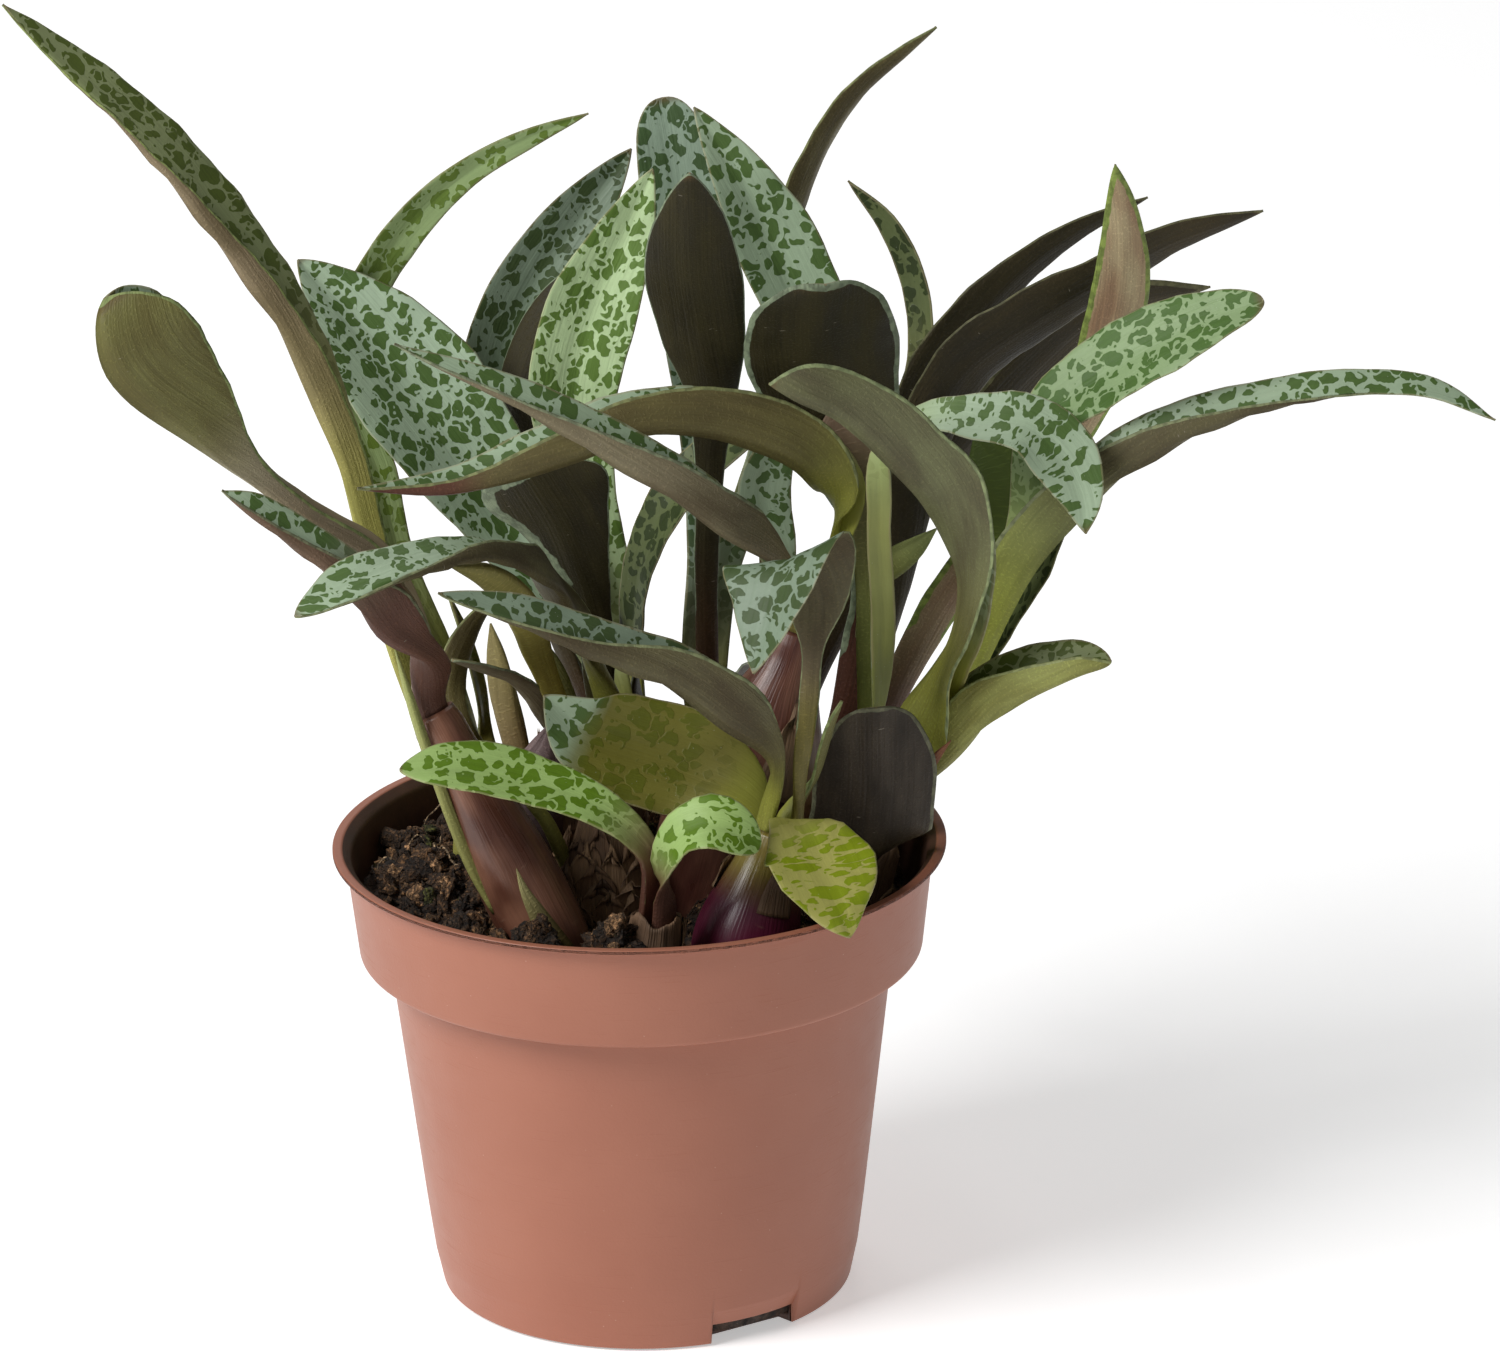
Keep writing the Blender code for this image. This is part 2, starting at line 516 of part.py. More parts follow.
def sight(across, up, behind):
    """Follow the line of sight through a point of the plane to its real depth."""
    share = behind / EYE[1]
    x = across + (across - EYE[0]) * share
    z = up - (EYE[2] - up) * share
    return np.array([x, behind, z])


def smooth(rows, tip):
    """Catmull-Rom curve through rows, read at its first and then at even steps.

    The even steps of chord length start at the second row, and a rounded tip
    takes two more near its end. The second result is each step's share of the
    way from the second row to the last.
    """
    rows = np.asarray(rows, float)
    steps = np.linalg.norm(np.diff(rows[:, :3], axis=0), axis=1)
    knots = np.concatenate([[0.0], np.cumsum(steps)])
    slopes = np.gradient(rows, knots, axis=0)
    count = max(6, round(knots[-1] / STATION_STEP))
    places = np.linspace(knots[1], knots[-1], count)
    if tip >= ROUNDED_FROM:
        places = np.insert(places, count - 1, knots[-1] - np.array(TIP_STEPS))
    places = np.insert(places, 0, 0.0)
    index = np.clip(np.searchsorted(knots, places, side="right") - 1, 0, len(knots) - 2)
    span = (knots[index + 1] - knots[index])[:, None]
    t = (places - knots[index])[:, None] / span
    before, after = rows[index], rows[index + 1]
    leave, arrive = slopes[index] * span, slopes[index + 1] * span
    curve = ((2 * t ** 3 - 3 * t ** 2 + 1) * before + (t ** 3 - 2 * t ** 2 + t) * leave
             + (3 * t ** 2 - 2 * t ** 3) * after + (t ** 3 - t ** 2) * arrive)
    return curve, np.clip((places - knots[1]) / (knots[-1] - knots[1]), 0.0, 1.0)


def unit(rows):
    rows = np.asarray(rows, float)
    return rows / np.linalg.norm(rows, axis=-1, keepdims=True)


def neck_slots(shoot):
    """Share the neck's ring among its leaves, each near the side it leaves by."""
    neck = np.array(shoot["neck"], float)
    wished = {}
    for name, blade in shoot["leaves"].items():
        away = sight(*blade["points"][0][:3]) - neck
        wished[name] = math.atan2(away[1], away[0])
    order = sorted(wished, key=wished.get)
    share = 2 * math.pi / len(order)
    turns = [wished[name] - number * share for number, name in enumerate(order)]
    start = math.atan2(sum(map(math.sin, turns)), sum(map(math.cos, turns)))
    return {name: start + number * share for number, name in enumerate(order)}


def facing(along, start, face, share, blend, hold):
    """Carry the way the base looks along the curve, and turn it towards face."""
    carried = [unit(start - along[0] * start.dot(along[0]))]
    for step in along[1:]:
        last = carried[-1]
        carried.append(unit(last - step * last.dot(step)))
    carried = np.array(carried)
    wished = unit(face - along * (along @ face)[:, None])
    turn = np.unwrap(np.arctan2((np.cross(carried, wished) * along).sum(axis=1),
                                (carried * wished).sum(axis=1)))
    turn -= 2 * math.pi * round(turn[np.searchsorted(share, OPEN_BY)] / (2 * math.pi))
    turn[share > hold] = turn[share <= hold][-1]
    turn = (turn * blend)[:, None]
    return carried * np.cos(turn) + np.cross(along, carried) * np.sin(turn)


def leaf_grid(shoot, blade, azimuth):
    """Stations along one leaf: middle points, widths, sides, normals, cups.

    The leaf stands as one sector of a ring in the neck, leaves it straight, and
    opens to its blade along a smooth curve through the points read for it.
    """
    count = len(shoot["leaves"])
    neck = np.array(shoot["neck"], float)
    axis = unit(neck - np.array(shoot["foot"], float))
    outward = np.array([math.cos(azimuth), math.sin(azimuth), 0.0])
    outward = unit(outward - axis * outward.dot(axis))
    base_cup = math.radians(min(WIDEST_SECTOR, 180.0 / count - SECTOR_GAP))
    base_width = 2 * base_cup * ring_radius(count)
    start = neck + outward * ring_radius(count) - axis * (SOCKET_DEPTH - LEAF_FOOT_RISE)
    risen = start + axis * (SOCKET_DEPTH + LEAF_NECK_RISE)
    rows = [(*start, base_width), (*risen, base_width)]
    rows += [(*sight(*point[:3]), point[3]) for point in blade["points"]]
    rows = np.array(rows)
    rows[-1, 3] = 0.0
    rows[:, 3] = rows[:, 3] ** blade["tip"]
    path, share = smooth(rows, blade["tip"])
    middle = path[:, :3]
    width = np.maximum(path[:, 3], 0.0) ** (1 / blade["tip"])
    width = np.maximum(width, TIP_WIDTH)
    along = unit(np.gradient(middle, axis=0))
    lean = middle[-1] - middle[0]
    lean[2] = 0.0
    lean = lean / np.linalg.norm(lean)
    face = blade["face"] or (-0.7 * lean[0], -0.7 * lean[1], 1.0)
    blend = np.clip(share / OPEN_BY, 0.0, 1.0)
    blend = blend ** 2 * (3 - 2 * blend)
    normal = facing(along, -outward, unit(face), share, blend, blade["hold"])
    side = np.cross(normal, along)
    cup = base_cup + (math.radians(blade["cup"]) - base_cup) * blend
    fold = math.radians(blade["fold"]) * blend
    thick = np.interp(share, (0.0, 0.45, 0.9, 1.0),
                      (BASE_THICK, BLADE_THICK, BLADE_THICK, TIP_THICK))
    return middle, width, side, normal, cup, fold, thick


def add_leaf(name, grid, skins):
    """A closed blade: an arched strip with an upper and an under face."""
    middle, width, side, normal, cup, fold, thick = grid
    across = np.linspace(-1.0, 1.0, FACETS_ACROSS + 1)
    radius = (width / (2 * cup))[:, None]
    swing = across[None, :] * cup[:, None]
    flat, rise = radius * np.sin(swing), radius * (1 - np.cos(swing))
    tilt = fold[:, None] * np.sign(across)[None, :]
    out = flat * np.cos(tilt) - rise * np.sin(tilt)
    up = flat * np.sin(tilt) + rise * np.cos(tilt)
    skin_turn = swing + tilt
    half = thick[:, None] / 2
    points = []
    for sign in (1, -1):
        shift_out = out - sign * half * np.sin(skin_turn)
        shift_up = up + sign * half * np.cos(skin_turn)
        layer = (middle[:, None, :] + side[:, None, :] * shift_out[:, :, None]
                 + normal[:, None, :] * shift_up[:, :, None])
        points.append(layer if sign == 1 else layer[:, ::-1])
    rings = np.concatenate(points, axis=1)
    stations, size = rings.shape[:2]
    upper = FACETS_ACROSS + 1
    faces = []
    for i in range(stations - 1):
        for k in range(size):
            a, b = i * size + k, i * size + (k + 1) % size
            c, d = b + size, a + size
            if k < upper:
                faces += [(a, d, c), (a, c, b)]
            else:
                faces += [(a, d, b), (d, c, b)]
    for k in range(FACETS_ACROSS):
        a, b, c, d = k, k + 1, size - 2 - k, size - 1 - k
        faces += [(a, b, c), (a, c, d)]
        end = (stations - 1) * size
        faces += [(end + b, end + a, end + c), (end + c, end + a, end + d)]
    blade = add_object(name, rings.reshape(-1, 3), faces, skins)
    indices = []
    for i in range(stations - 1):
        for k in range(size):
            indices += [0 if k < upper else 1] * 2
    indices += [1] * (4 * FACETS_ACROSS)
    blade.data.polygons.foreach_set("material_index", indices)
    blade.data.shade_smooth()
    blade.data.set_sharp_from_angle(angle=math.radians(60))


def main():
    clear_scene()
    glossy = material("bulb_skin", (0.115, 0.046, 0.038), 0.35)
    dry = material("dry_tunic", (0.17, 0.098, 0.058), 0.8)
    upper = material("leaf_upper", (0.36, 0.52, 0.42), 0.45)
    under = material("leaf_under", (0.085, 0.068, 0.042), 0.55)
    cutters = []
    for name, shoot in SHOOTS.items():
        if shoot["belly"] is None:
            cutters.append(add_stem_hole(name, shoot))
        else:
            skin = glossy if name in ("left", "main", "front") else dry
            cutters.append(add_bulb(name, shoot, skin))
        if not shoot["leaves"]:
            continue
        slots = neck_slots(shoot)
        for leaf_name, blade in shoot["leaves"].items():
            grid = leaf_grid(shoot, blade, slots[leaf_name])
            add_leaf(f"leaf_{name}_{leaf_name}", grid, [upper, under])
    add_pot()
    add_soil(cutters)


main()
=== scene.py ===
"""Looks of the potted silver squill: pot, peat, bulbs, leaves and their studio."""

import math

import bpy
import numpy as np
from mathutils import Matrix, Vector


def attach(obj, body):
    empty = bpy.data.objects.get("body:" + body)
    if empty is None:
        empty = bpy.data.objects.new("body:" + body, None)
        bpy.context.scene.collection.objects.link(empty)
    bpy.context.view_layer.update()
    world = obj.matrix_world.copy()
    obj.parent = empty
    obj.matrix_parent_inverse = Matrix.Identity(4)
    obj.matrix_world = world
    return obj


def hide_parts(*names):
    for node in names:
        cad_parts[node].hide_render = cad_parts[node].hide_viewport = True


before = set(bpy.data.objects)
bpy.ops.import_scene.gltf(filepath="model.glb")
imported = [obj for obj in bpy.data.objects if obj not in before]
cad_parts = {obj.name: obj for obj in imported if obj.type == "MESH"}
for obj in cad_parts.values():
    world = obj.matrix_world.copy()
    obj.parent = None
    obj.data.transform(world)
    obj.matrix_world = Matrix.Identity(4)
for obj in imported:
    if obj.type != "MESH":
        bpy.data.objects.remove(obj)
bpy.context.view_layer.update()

# The pot: a terracotta-coloured plastic nursery pot, injection moulded in one
# piece, with a rolled lip, a deep band, a seam near the foot and two drain slots.
MM = 0.001
POT_COLUMNS = 288
LIP_R = 60.0
POT_HEIGHT = 91.0
LIP_HEIGHT = 0.9
LIP_WIDTH = 1.75
BAND_TOP_R = 57.6
BAND_LOW_R = 55.2
BAND_LOW_Z = 69.2
BODY_TOP_R = 49.5
BODY_LOW_R = 43.2
BODY_LOW_Z = 16.0
SEAM_R = 42.0
SEAM_Z = 7.0
FOOT_R = 40.5
WALL = 1.3
FLOOR_THICK = 1.6
DRAIN_AZIMUTH = 31.7
DRAIN_WIDTH = 18.8
DRAIN_HEIGHT = 4.0
DRAIN_TOP_Z = 8.0
DRAIN_INNER_R = 35.5
DRAIN_EDGE = 2e-4
BAND_STEP = 0.2
CURVE_POINTS = 5
CURVE_HOLD = 1.9
FLOOR_OVERLAP = 0.3
FIRST_INNER_ROW = 61


class Wire:
    """A value in a material: sums, differences and products add Math nodes."""

    def __init__(self, tree, socket=None):
        self.tree = tree
        self.socket = socket

    def node(self, kind, settings=None, inputs=None, output=0):
        """Add one node: its settings first, then the values or wires of its sockets."""
        made = self.tree.nodes.new(kind)
        for name, value in (settings or {}).items():
            setattr(made, name, value)
        for name, value in (inputs or {}).items():
            if isinstance(value, Wire):
                self.tree.links.new(value.socket, made.inputs[name])
            else:
                made.inputs[name].default_value = value
        return Wire(self.tree, made.outputs[output])

    def math(self, operation, *values):
        return self.node("ShaderNodeMath", {"operation": operation}, dict(enumerate(values)))

    def vector(self, operation, *values):
        return self.node("ShaderNodeVectorMath", {"operation": operation},
                         dict(enumerate(values)))

    def __add__(self, other):
        return self.math("ADD", self, other)

    def __mul__(self, other):
        return self.math("MULTIPLY", self, other)

    def __sub__(self, other):
        return self.math("SUBTRACT", self, other)

    def __rsub__(self, other):
        return self.math("SUBTRACT", other, self)

    __radd__ = __add__
    __rmul__ = __mul__

    def step(self, low, high):
        """A smooth rise from 0 at low to 1 at high, or a fall where low is the larger."""
        return self.node("ShaderNodeMapRange", {"interpolation_type": "SMOOTHSTEP"},
                         {"Value": self, "From Min": low, "From Max": high})

    def blend(self, first, second):
        """The colour that lies this share of the way from first to second."""
        return self.node("ShaderNodeMix", {"data_type": "RGBA"}, {0: self, 6: first, 7: second},
                         output=2)

    def shaded(self, light):
        """This colour made lighter or darker by a wire whose middle value is 1."""
        grey = self.node("ShaderNodeCombineXYZ", None, {0: light, 1: light, 2: light})
        return self.vector("MULTIPLY", self, grey)

    def scaled(self, x, y, z):
        """These coordinates with each axis multiplied by its own number."""
        return self.vector("MULTIPLY", self, (x, y, z))

    def noise(self, scale, detail=2.0, output=0):
        return self.node("ShaderNodeTexNoise", None,
                         {"Vector": self, "Scale": scale, "Detail": detail}, output)

    def cells(self, scale, feature="F1"):
        """Distance to the middle of the nearest cell, or to the edge of this one."""
        return self.node("ShaderNodeTexVoronoi", {"feature": feature},
                         {"Vector": self, "Scale": scale}, "Distance")

    def bent(self, scale, amount):
        """These coordinates pushed about by noise, up to half of amount each way."""
        push = self.vector("SUBTRACT", self.noise(scale, 1.0, output=1), (0.5, 0.5, 0.5))
        return self.vector("ADD", self, push.scaled(amount, amount, amount))


def tone(red, green, blue):
    """A colour given in display values from 0 to 255, made linear, with alpha 1."""
    return (*[((part / 255 + 0.055) / 1.055) ** 2.4 for part in (red, green, blue)], 1.0)


def new_skin(name):
    """A named material, and the wire from which its pattern is built."""
    made = bpy.data.materials.new(name)
    made.use_nodes = True
    return made, Wire(made.node_tree)


def object_mm(root):
    """Object coordinates in millimetres."""
    place = root.node("ShaderNodeTexCoord", output="Object")
    return place.scaled(1000.0, 1000.0, 1000.0)


def grain_mm(root):
    """The piece's own map: millimetres across, then millimetres along."""
    return root.node("ShaderNodeUVMap", {"uv_map": "grain"})


def field(root, name, output="Fac"):
    """A value or, at the output Color, a colour kept at each vertex."""
    return root.node("ShaderNodeAttribute", {"attribute_name": name}, output=output)


def dress(skin, colour, roughness, height, depth, **plain):
    """Join a material's wires to its shader; its relief is depth metres for a height of 1."""
    tree = skin.node_tree
    shader = tree.nodes["Principled BSDF"]
    relief = Wire(tree).node("ShaderNodeBump", None, {"Height": height, "Distance": depth})
    for name, wire in (("Base Color", colour), ("Roughness", roughness), ("Normal", relief)):
        tree.links.new(wire.socket, shader.inputs[name])
    for name, value in plain.items():
        shader.inputs[name.replace("_", " ")].default_value = value
    return skin


def quads(rows, columns, looped=False):
    """Quads of a grid whose columns close, and whose rows close too when looped."""
    i, j = np.meshgrid(np.arange(rows if looped else rows - 1), np.arange(columns),
                       indexing="ij")
    above, beside = (i + 1) % rows, (j + 1) % columns
    corners = (i * columns + j, i * columns + beside, above * columns + beside,
               above * columns + j)
    return np.stack(corners, axis=-1).reshape(-1, 4)


def closed(rows, columns, patches=1):
    """Quads of patches of closed columns, and fans round the two poles of each."""
    j = np.arange(columns)
    beside = (j + 1) % columns
    last = (rows - 1) * columns
    low = np.stack([beside, j, np.full(columns, rows * columns)], axis=-1)
    high = np.stack([last + j, last + beside, np.full(columns, rows * columns + 1)], axis=-1)
    shift = np.arange(patches)[:, None, None] * (rows * columns + 2)
    sides = (quads(rows, columns) + shift).reshape(-1, 4)
    ends = (np.concatenate([low, high]) + shift).reshape(-1, 3)
    return sides.tolist() + ends.tolist()


def with_poles(values):
    """Patches of rows and columns laid flat, each with the means of its end rows last."""
    flat = values.reshape(len(values), -1, values.shape[-1])
    ends = values[:, [0, -1]].mean(axis=2)
    return np.concatenate([flat, ends], axis=1).reshape(-1, values.shape[-1])


def make_piece(name, points, faces, skins, fields=(), picks=None):
    """A mesh object from points in millimetres; fields name what each point carries."""
    mesh = bpy.data.meshes.new(name)
    mesh.from_pydata((points * MM).tolist(), [], faces)
    for skin in skins:
        mesh.materials.append(skin)
    if picks is not None:
        mesh.polygons.foreach_set("material_index", picks)
    mesh.shade_smooth()
    corner = np.empty(len(mesh.loops), int)
    mesh.loops.foreach_get("vertex_index", corner)
    for label, values in dict(fields).items():
        if values.shape[-1] == 2:
            layer = mesh.uv_layers.new(name=label)
            layer.data.foreach_set("uv", values[corner].ravel())
        elif values.shape[-1] == 3:
            layer = mesh.attributes.new(label, "FLOAT_COLOR", "POINT")
            opaque = np.column_stack([values, np.ones(len(values))])
            layer.data.foreach_set("color", opaque.ravel())
        else:
            layer = mesh.attributes.new(label, "FLOAT", "POINT")
            layer.data.foreach_set("value", values.ravel())
    piece = bpy.data.objects.new(name, mesh)
    bpy.context.scene.collection.objects.link(piece)
    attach(piece, "root")
    return piece


def turns(count):
    """The angles of a full round in even steps."""
    return np.linspace(0.0, 2 * math.pi, count, endpoint=False)


def barrel(radius, turn, height):
    """Points at a radius and an angle round the upright axis, and at a height."""
    flat = np.broadcast_arrays(radius * np.cos(turn), radius * np.sin(turn), height)
    return np.stack(flat, axis=-1)


def make_closed(name, points, skins, fields=(), picks=None):
    """A piece of closed patches; its points and fields lie in patches, rows and columns."""
    count, rows, columns = points.shape[:3]
    fields = {label: with_poles(values) for label, values in dict(fields).items()}
    return make_piece(name, with_poles(points), closed(rows, columns, count), skins,
                      fields, picks)


def rounded(corners, radii):
    """A closed outline with each corner turned into a quadratic curve of its radius.

    A point at CURVE_HOLD radii before and after each curve keeps the flats flat.
    """
    corners = np.array(corners, float)
    rows = []
    for before, corner, after, radius in zip(np.roll(corners, 1, 0), corners,
                                             np.roll(corners, -1, 0), radii):
        leave = (before - corner) / np.linalg.norm(before - corner)
        arrive = (after - corner) / np.linalg.norm(after - corner)
        t = np.linspace(0.0, 1.0, CURVE_POINTS)[:, None]
        arc = corner + radius * ((1 - t) ** 2 * leave + t ** 2 * arrive)
        rows += [corner + CURVE_HOLD * radius * leave, *arc,
                 corner + CURVE_HOLD * radius * arrive]
    return np.array(rows)


def drain_columns():
    """Azimuths round the pot, doubled at the sides of the slots, and which lie in one."""
    half = math.asin(DRAIN_WIDTH / 2 / FOOT_R)
    middles = np.radians([DRAIN_AZIMUTH - 90.0, DRAIN_AZIMUTH + 90.0])
    edges = np.concatenate([middles - half, middles + half])
    turn = np.concatenate([turns(POT_COLUMNS), edges - DRAIN_EDGE, edges + DRAIN_EDGE])
    turn = np.sort(turn % (2 * math.pi))
    away = np.abs((turn[:, None] - middles + math.pi) % (2 * math.pi) - math.pi)
    return turn, away.min(axis=1) < half


def add_pot():
    """The wall is its section carried round the axis; the floor is a disc inside it."""
    outline = rounded(
        [(FOOT_R, 0.0), (SEAM_R, SEAM_Z), (BODY_LOW_R, BODY_LOW_Z),
         (BODY_TOP_R, BAND_LOW_Z - BAND_STEP), (BAND_LOW_R, BAND_LOW_Z),
         (BAND_TOP_R, POT_HEIGHT - LIP_HEIGHT), (LIP_R, POT_HEIGHT - LIP_HEIGHT),
         (LIP_R, POT_HEIGHT), (LIP_R - LIP_WIDTH, POT_HEIGHT),
         (BAND_TOP_R - WALL, POT_HEIGHT - LIP_WIDTH), (BAND_LOW_R - WALL, BAND_LOW_Z + WALL),
         (BODY_TOP_R - WALL, BAND_LOW_Z + WALL - BAND_STEP),
         (BODY_LOW_R - WALL, BODY_LOW_Z), (SEAM_R - WALL, SEAM_Z), (FOOT_R - WALL, 0.0)],
        [0.5, 0.35, 3.0, 0.5, 0.9, 0.3, 0.38, 0.38, 0.38, 0.6, 0.5, 0.5, 1.0, 0.5, 0.4])
    turn, in_slot = drain_columns()
    radius, height = outline[:, None, 0], outline[:, None, 1]
    raised = DRAIN_HEIGHT + height * (DRAIN_TOP_Z - DRAIN_HEIGHT) / DRAIN_TOP_Z
    height = np.where(in_slot & (height < DRAIN_TOP_Z), raised, height)
    wall = barrel(radius, turn, height)
    inside = np.arange(len(outline)) >= FIRST_INNER_ROW
    inside = np.broadcast_to(inside[:, None, None], wall.shape[:2] + (1,))
    chord = DRAIN_INNER_R / np.cos((turn - math.radians(DRAIN_AZIMUTH - 90.0)
                                    + math.pi / 2) % math.pi - math.pi / 2)
    edge = np.where(in_slot, np.minimum(chord, FOOT_R - WALL), FOOT_R - WALL + FLOOR_OVERLAP)
    disc = [barrel(share * edge, turn, level) for share, level in
            ((0.5, 0.0), (1.0, 0.0), (1.0, FLOOR_THICK), (0.5, FLOOR_THICK))]
    disc = with_poles(np.array(disc)[None])
    shift = wall.shape[0] * wall.shape[1]
    floor = [[corner + shift for corner in face] for face in closed(4, len(turn))]
    points = np.concatenate([wall.reshape(-1, 3), disc])
    # The inside of the wall and the floor disc are marked for a darker colour: painted shade, with some
    # dirt.
    inner_shade_and_dirt = np.concatenate([inside.reshape(-1, 1), np.ones((len(disc), 1))]).astype(float)
    faces = quads(wall.shape[0], wall.shape[1], looped=True).tolist() + floor
    pot = make_piece("pot_moulded", points, faces, [pot_plastic()],
                     {"inner_shade_and_dirt": inner_shade_and_dirt})
    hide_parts("pot")


def pot_plastic():
    """Satin terracotta plastic: faint clouds in the colour, dust, hair scratches, and a darker inside that
    is painted shade with some dirt.
    """
    skin, root = new_skin("pot_plastic")
    place = object_mm(root)
    clouds = place.noise(0.045, 3.0)
    dust = place.cells(0.55).step(0.10, 0.03) * place.noise(0.2).step(0.52, 0.66)
    scratches = place.scaled(0.09, 0.09, 2.6).noise(1.0, 2.0).step(0.60, 0.72)
    clean = clouds.blend(tone(156, 96, 74), tone(167, 107, 84))
    clean = (dust * 0.35).blend(clean, tone(214, 184, 166))
    # The darker inside colour is painted shade with some dirt, not the plastic's own tone.
    shade_and_dirt_colour = place.noise(0.12, 4.0).blend(tone(50, 38, 32), tone(104, 70, 56))
    colour = field(root, "inner_shade_and_dirt").blend(clean, shade_and_dirt_colour)
    roughness = 0.36 + 0.16 * place.noise(0.16, 3.0) + 0.10 * scratches
    height = 0.7 * place.noise(1.6, 2.0) + 0.3 * scratches
    return dress(skin, colour, roughness, height, 0.00006, IOR=1.48)


add_pot()

# The peat: dark, fibrous and damp, heaped at the left behind the rim. It is one
# closed body with a rough top, under loose crumbs, clods and dead roots.
SOIL_TOP = 78.0
SOIL_MOUNDS = ((5.0, -42.0, 22.0, 17.0), (5.5, -40.0, -8.0, 12.0), (2.5, -8.0, -44.0, 12.0))
SOIL_EDGE_R = 54.3
SOIL_COLUMNS = 330
SOIL_ROWS = 52
SOIL_LOW_Z = 1.9
SOIL_GAP = 0.3
LOOSE_R = 52.5
ROOTED_R = 49.0
CRUMBS = 2600
CLODS = 260
ROOTS = 260
HEAPED = 170
HEAPS = ((-20.0, -46.0), (-5.0, -45.0))
HEAP_SPREAD = 3.6
HEAP_RISE = 9.0
HEAP_REACH = 6.0
CLOD_GRID = (10, 14)


def tones(*parts):
    """Rows of linear red, green and blue from display values given in threes."""
    return np.array([tone(*row)[:3] for row in np.reshape(parts, (-1, 3)).tolist()])


def crossed_waves(x, y, seed, longest, shortest, count):
    """A sum of sine waves in random directions, each as tall as its length's share."""
    dice = np.random.default_rng(seed)
    lengths = np.geomspace(longest, shortest, count)
    total = np.zeros(np.broadcast(x, y).shape)
    for length, angle, phase in zip(lengths, dice.uniform(0, math.pi, count),
                                    dice.uniform(0, 2 * math.pi, count)):
        along = x * math.cos(angle) + y * math.sin(angle)
        total += length / longest * np.sin(2 * math.pi * along / length + phase)
    return total


def soil_height(x, y):
    """The level of the peat: a plane, bell-shaped mounds, waves and a dip by the wall."""
    level = SOIL_TOP + 0.75 * crossed_waves(x, y, 4, 17.0, 1.7, 26)
    for rise, east, north, reach in SOIL_MOUNDS:
        level = level + rise * np.exp(-((x - east) ** 2 + (y - north) ** 2) / (2 * reach ** 2))
    return level - 1.6 * np.clip((np.hypot(x, y) - 50.0) / 4.3, 0.0, 1.0) ** 2


def peat_skin():
    """Near-black peat with brown fibres, paler dry crumbs and a damp sheen in places."""
    skin, root = new_skin("peat")
    place = object_mm(root)
    dark = place.noise(0.5, 4.0).step(0.34, 0.66).blend(tone(24, 18, 14), tone(66, 48, 36))
    fibres = place.bent(0.3, 3.0).scaled(0.35, 2.4, 1.3).noise(1.0, 3.0).step(0.58, 0.70)
    grit = place.cells(0.9).step(0.16, 0.08) * place.noise(0.3).step(0.55, 0.62)
    colour = (fibres * 0.55).blend(dark, tone(112, 84, 60))
    colour = (grit * 0.6).blend(colour, tone(150, 132, 108))
    roughness = 0.95 - 0.4 * place.noise(0.25, 3.0).step(0.5, 0.7)
    height = place.noise(0.9, 5.0) + 0.5 * fibres
    return dress(skin, colour, roughness, height, 0.0007)


def crumb_skin():
    """Loose bits: each keeps its own colour, with fibres, pits and fine grain."""
    skin, root = new_skin("peat_crumbs")
    place = object_mm(root)
    pits = place.noise(1.3, 5.0).step(0.38, 0.62)
    fibres = place.bent(0.6, 2.0).scaled(0.6, 3.2, 1.9).noise(1.0, 3.0).step(0.56, 0.66)
    colour = field(root, "body", "Color").shaded(0.25 + 1.1 * pits)
    colour = (fibres * 0.4).blend(colour, tone(128, 98, 72))
    return dress(skin, colour, 0.95 - 0.25 * place.noise(0.8), pits + 0.5 * fibres, 0.0009)


def add_soil():
    """Rings from the floor up the wall, then rough rings from the edge in to the middle."""
    turn = turns(SOIL_COLUMNS)
    sides = [(30.0, SOIL_LOW_Z), (FOOT_R - WALL - SOIL_GAP, SOIL_LOW_Z),
             (BODY_LOW_R - WALL - SOIL_GAP, BODY_LOW_Z), (BODY_TOP_R - WALL - SOIL_GAP, 70.6),
             (BAND_LOW_R - WALL - SOIL_GAP, 70.8)]
    sides = [barrel(radius, turn, level) for radius, level in sides]
    top = barrel(np.linspace(SOIL_EDGE_R, 1.0, SOIL_ROWS)[:, None], turn, 0.0)
    top[..., 2] = soil_height(top[..., 0], top[..., 1])
    soil = make_closed("peat_bed", np.concatenate([sides, top])[None], [peat_skin()])
    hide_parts("soil")


def add_lumps(name, dice, skin, size, radius, angle, rows, columns, lift=0.0):
    """Lumps: little spheres, stretched, turned and dented at random, sunk by a third."""
    count = len(size)
    lean = np.linspace(0.0, math.pi, rows + 2)[1:-1, None]
    ball = barrel(np.sin(lean), turns(columns), -np.cos(lean))
    stretch = dice.uniform(0.4, 1.6, (count, 1, 1, 3)) * size[:, None, None, None]
    lumps = ball * stretch * dice.uniform(0.62, 1.3, (count, rows, columns, 1))
    spin = np.linalg.qr(dice.normal(size=(count, 3, 3)))[0]
    spin *= np.linalg.det(spin)[:, None, None]
    lumps = np.einsum("nij,nrcj->nrci", spin, lumps)
    x, y = radius * np.cos(angle), radius * np.sin(angle)
    lumps += np.stack([x, y, soil_height(x, y) + 0.3 * size + lift], axis=-1)[:, None, None]
    shades = tones(54, 37, 22, 88, 62, 38, 124, 90, 58, 166, 126, 88, 92, 92, 42, 176, 160, 134)
    pick = dice.choice(6, count, p=[0.26, 0.34, 0.23, 0.13, 0.03, 0.01])
    body = np.broadcast_to(shades[pick][:, None, None], lumps.shape)
    make_closed(name, lumps, [skin], {"body": body})


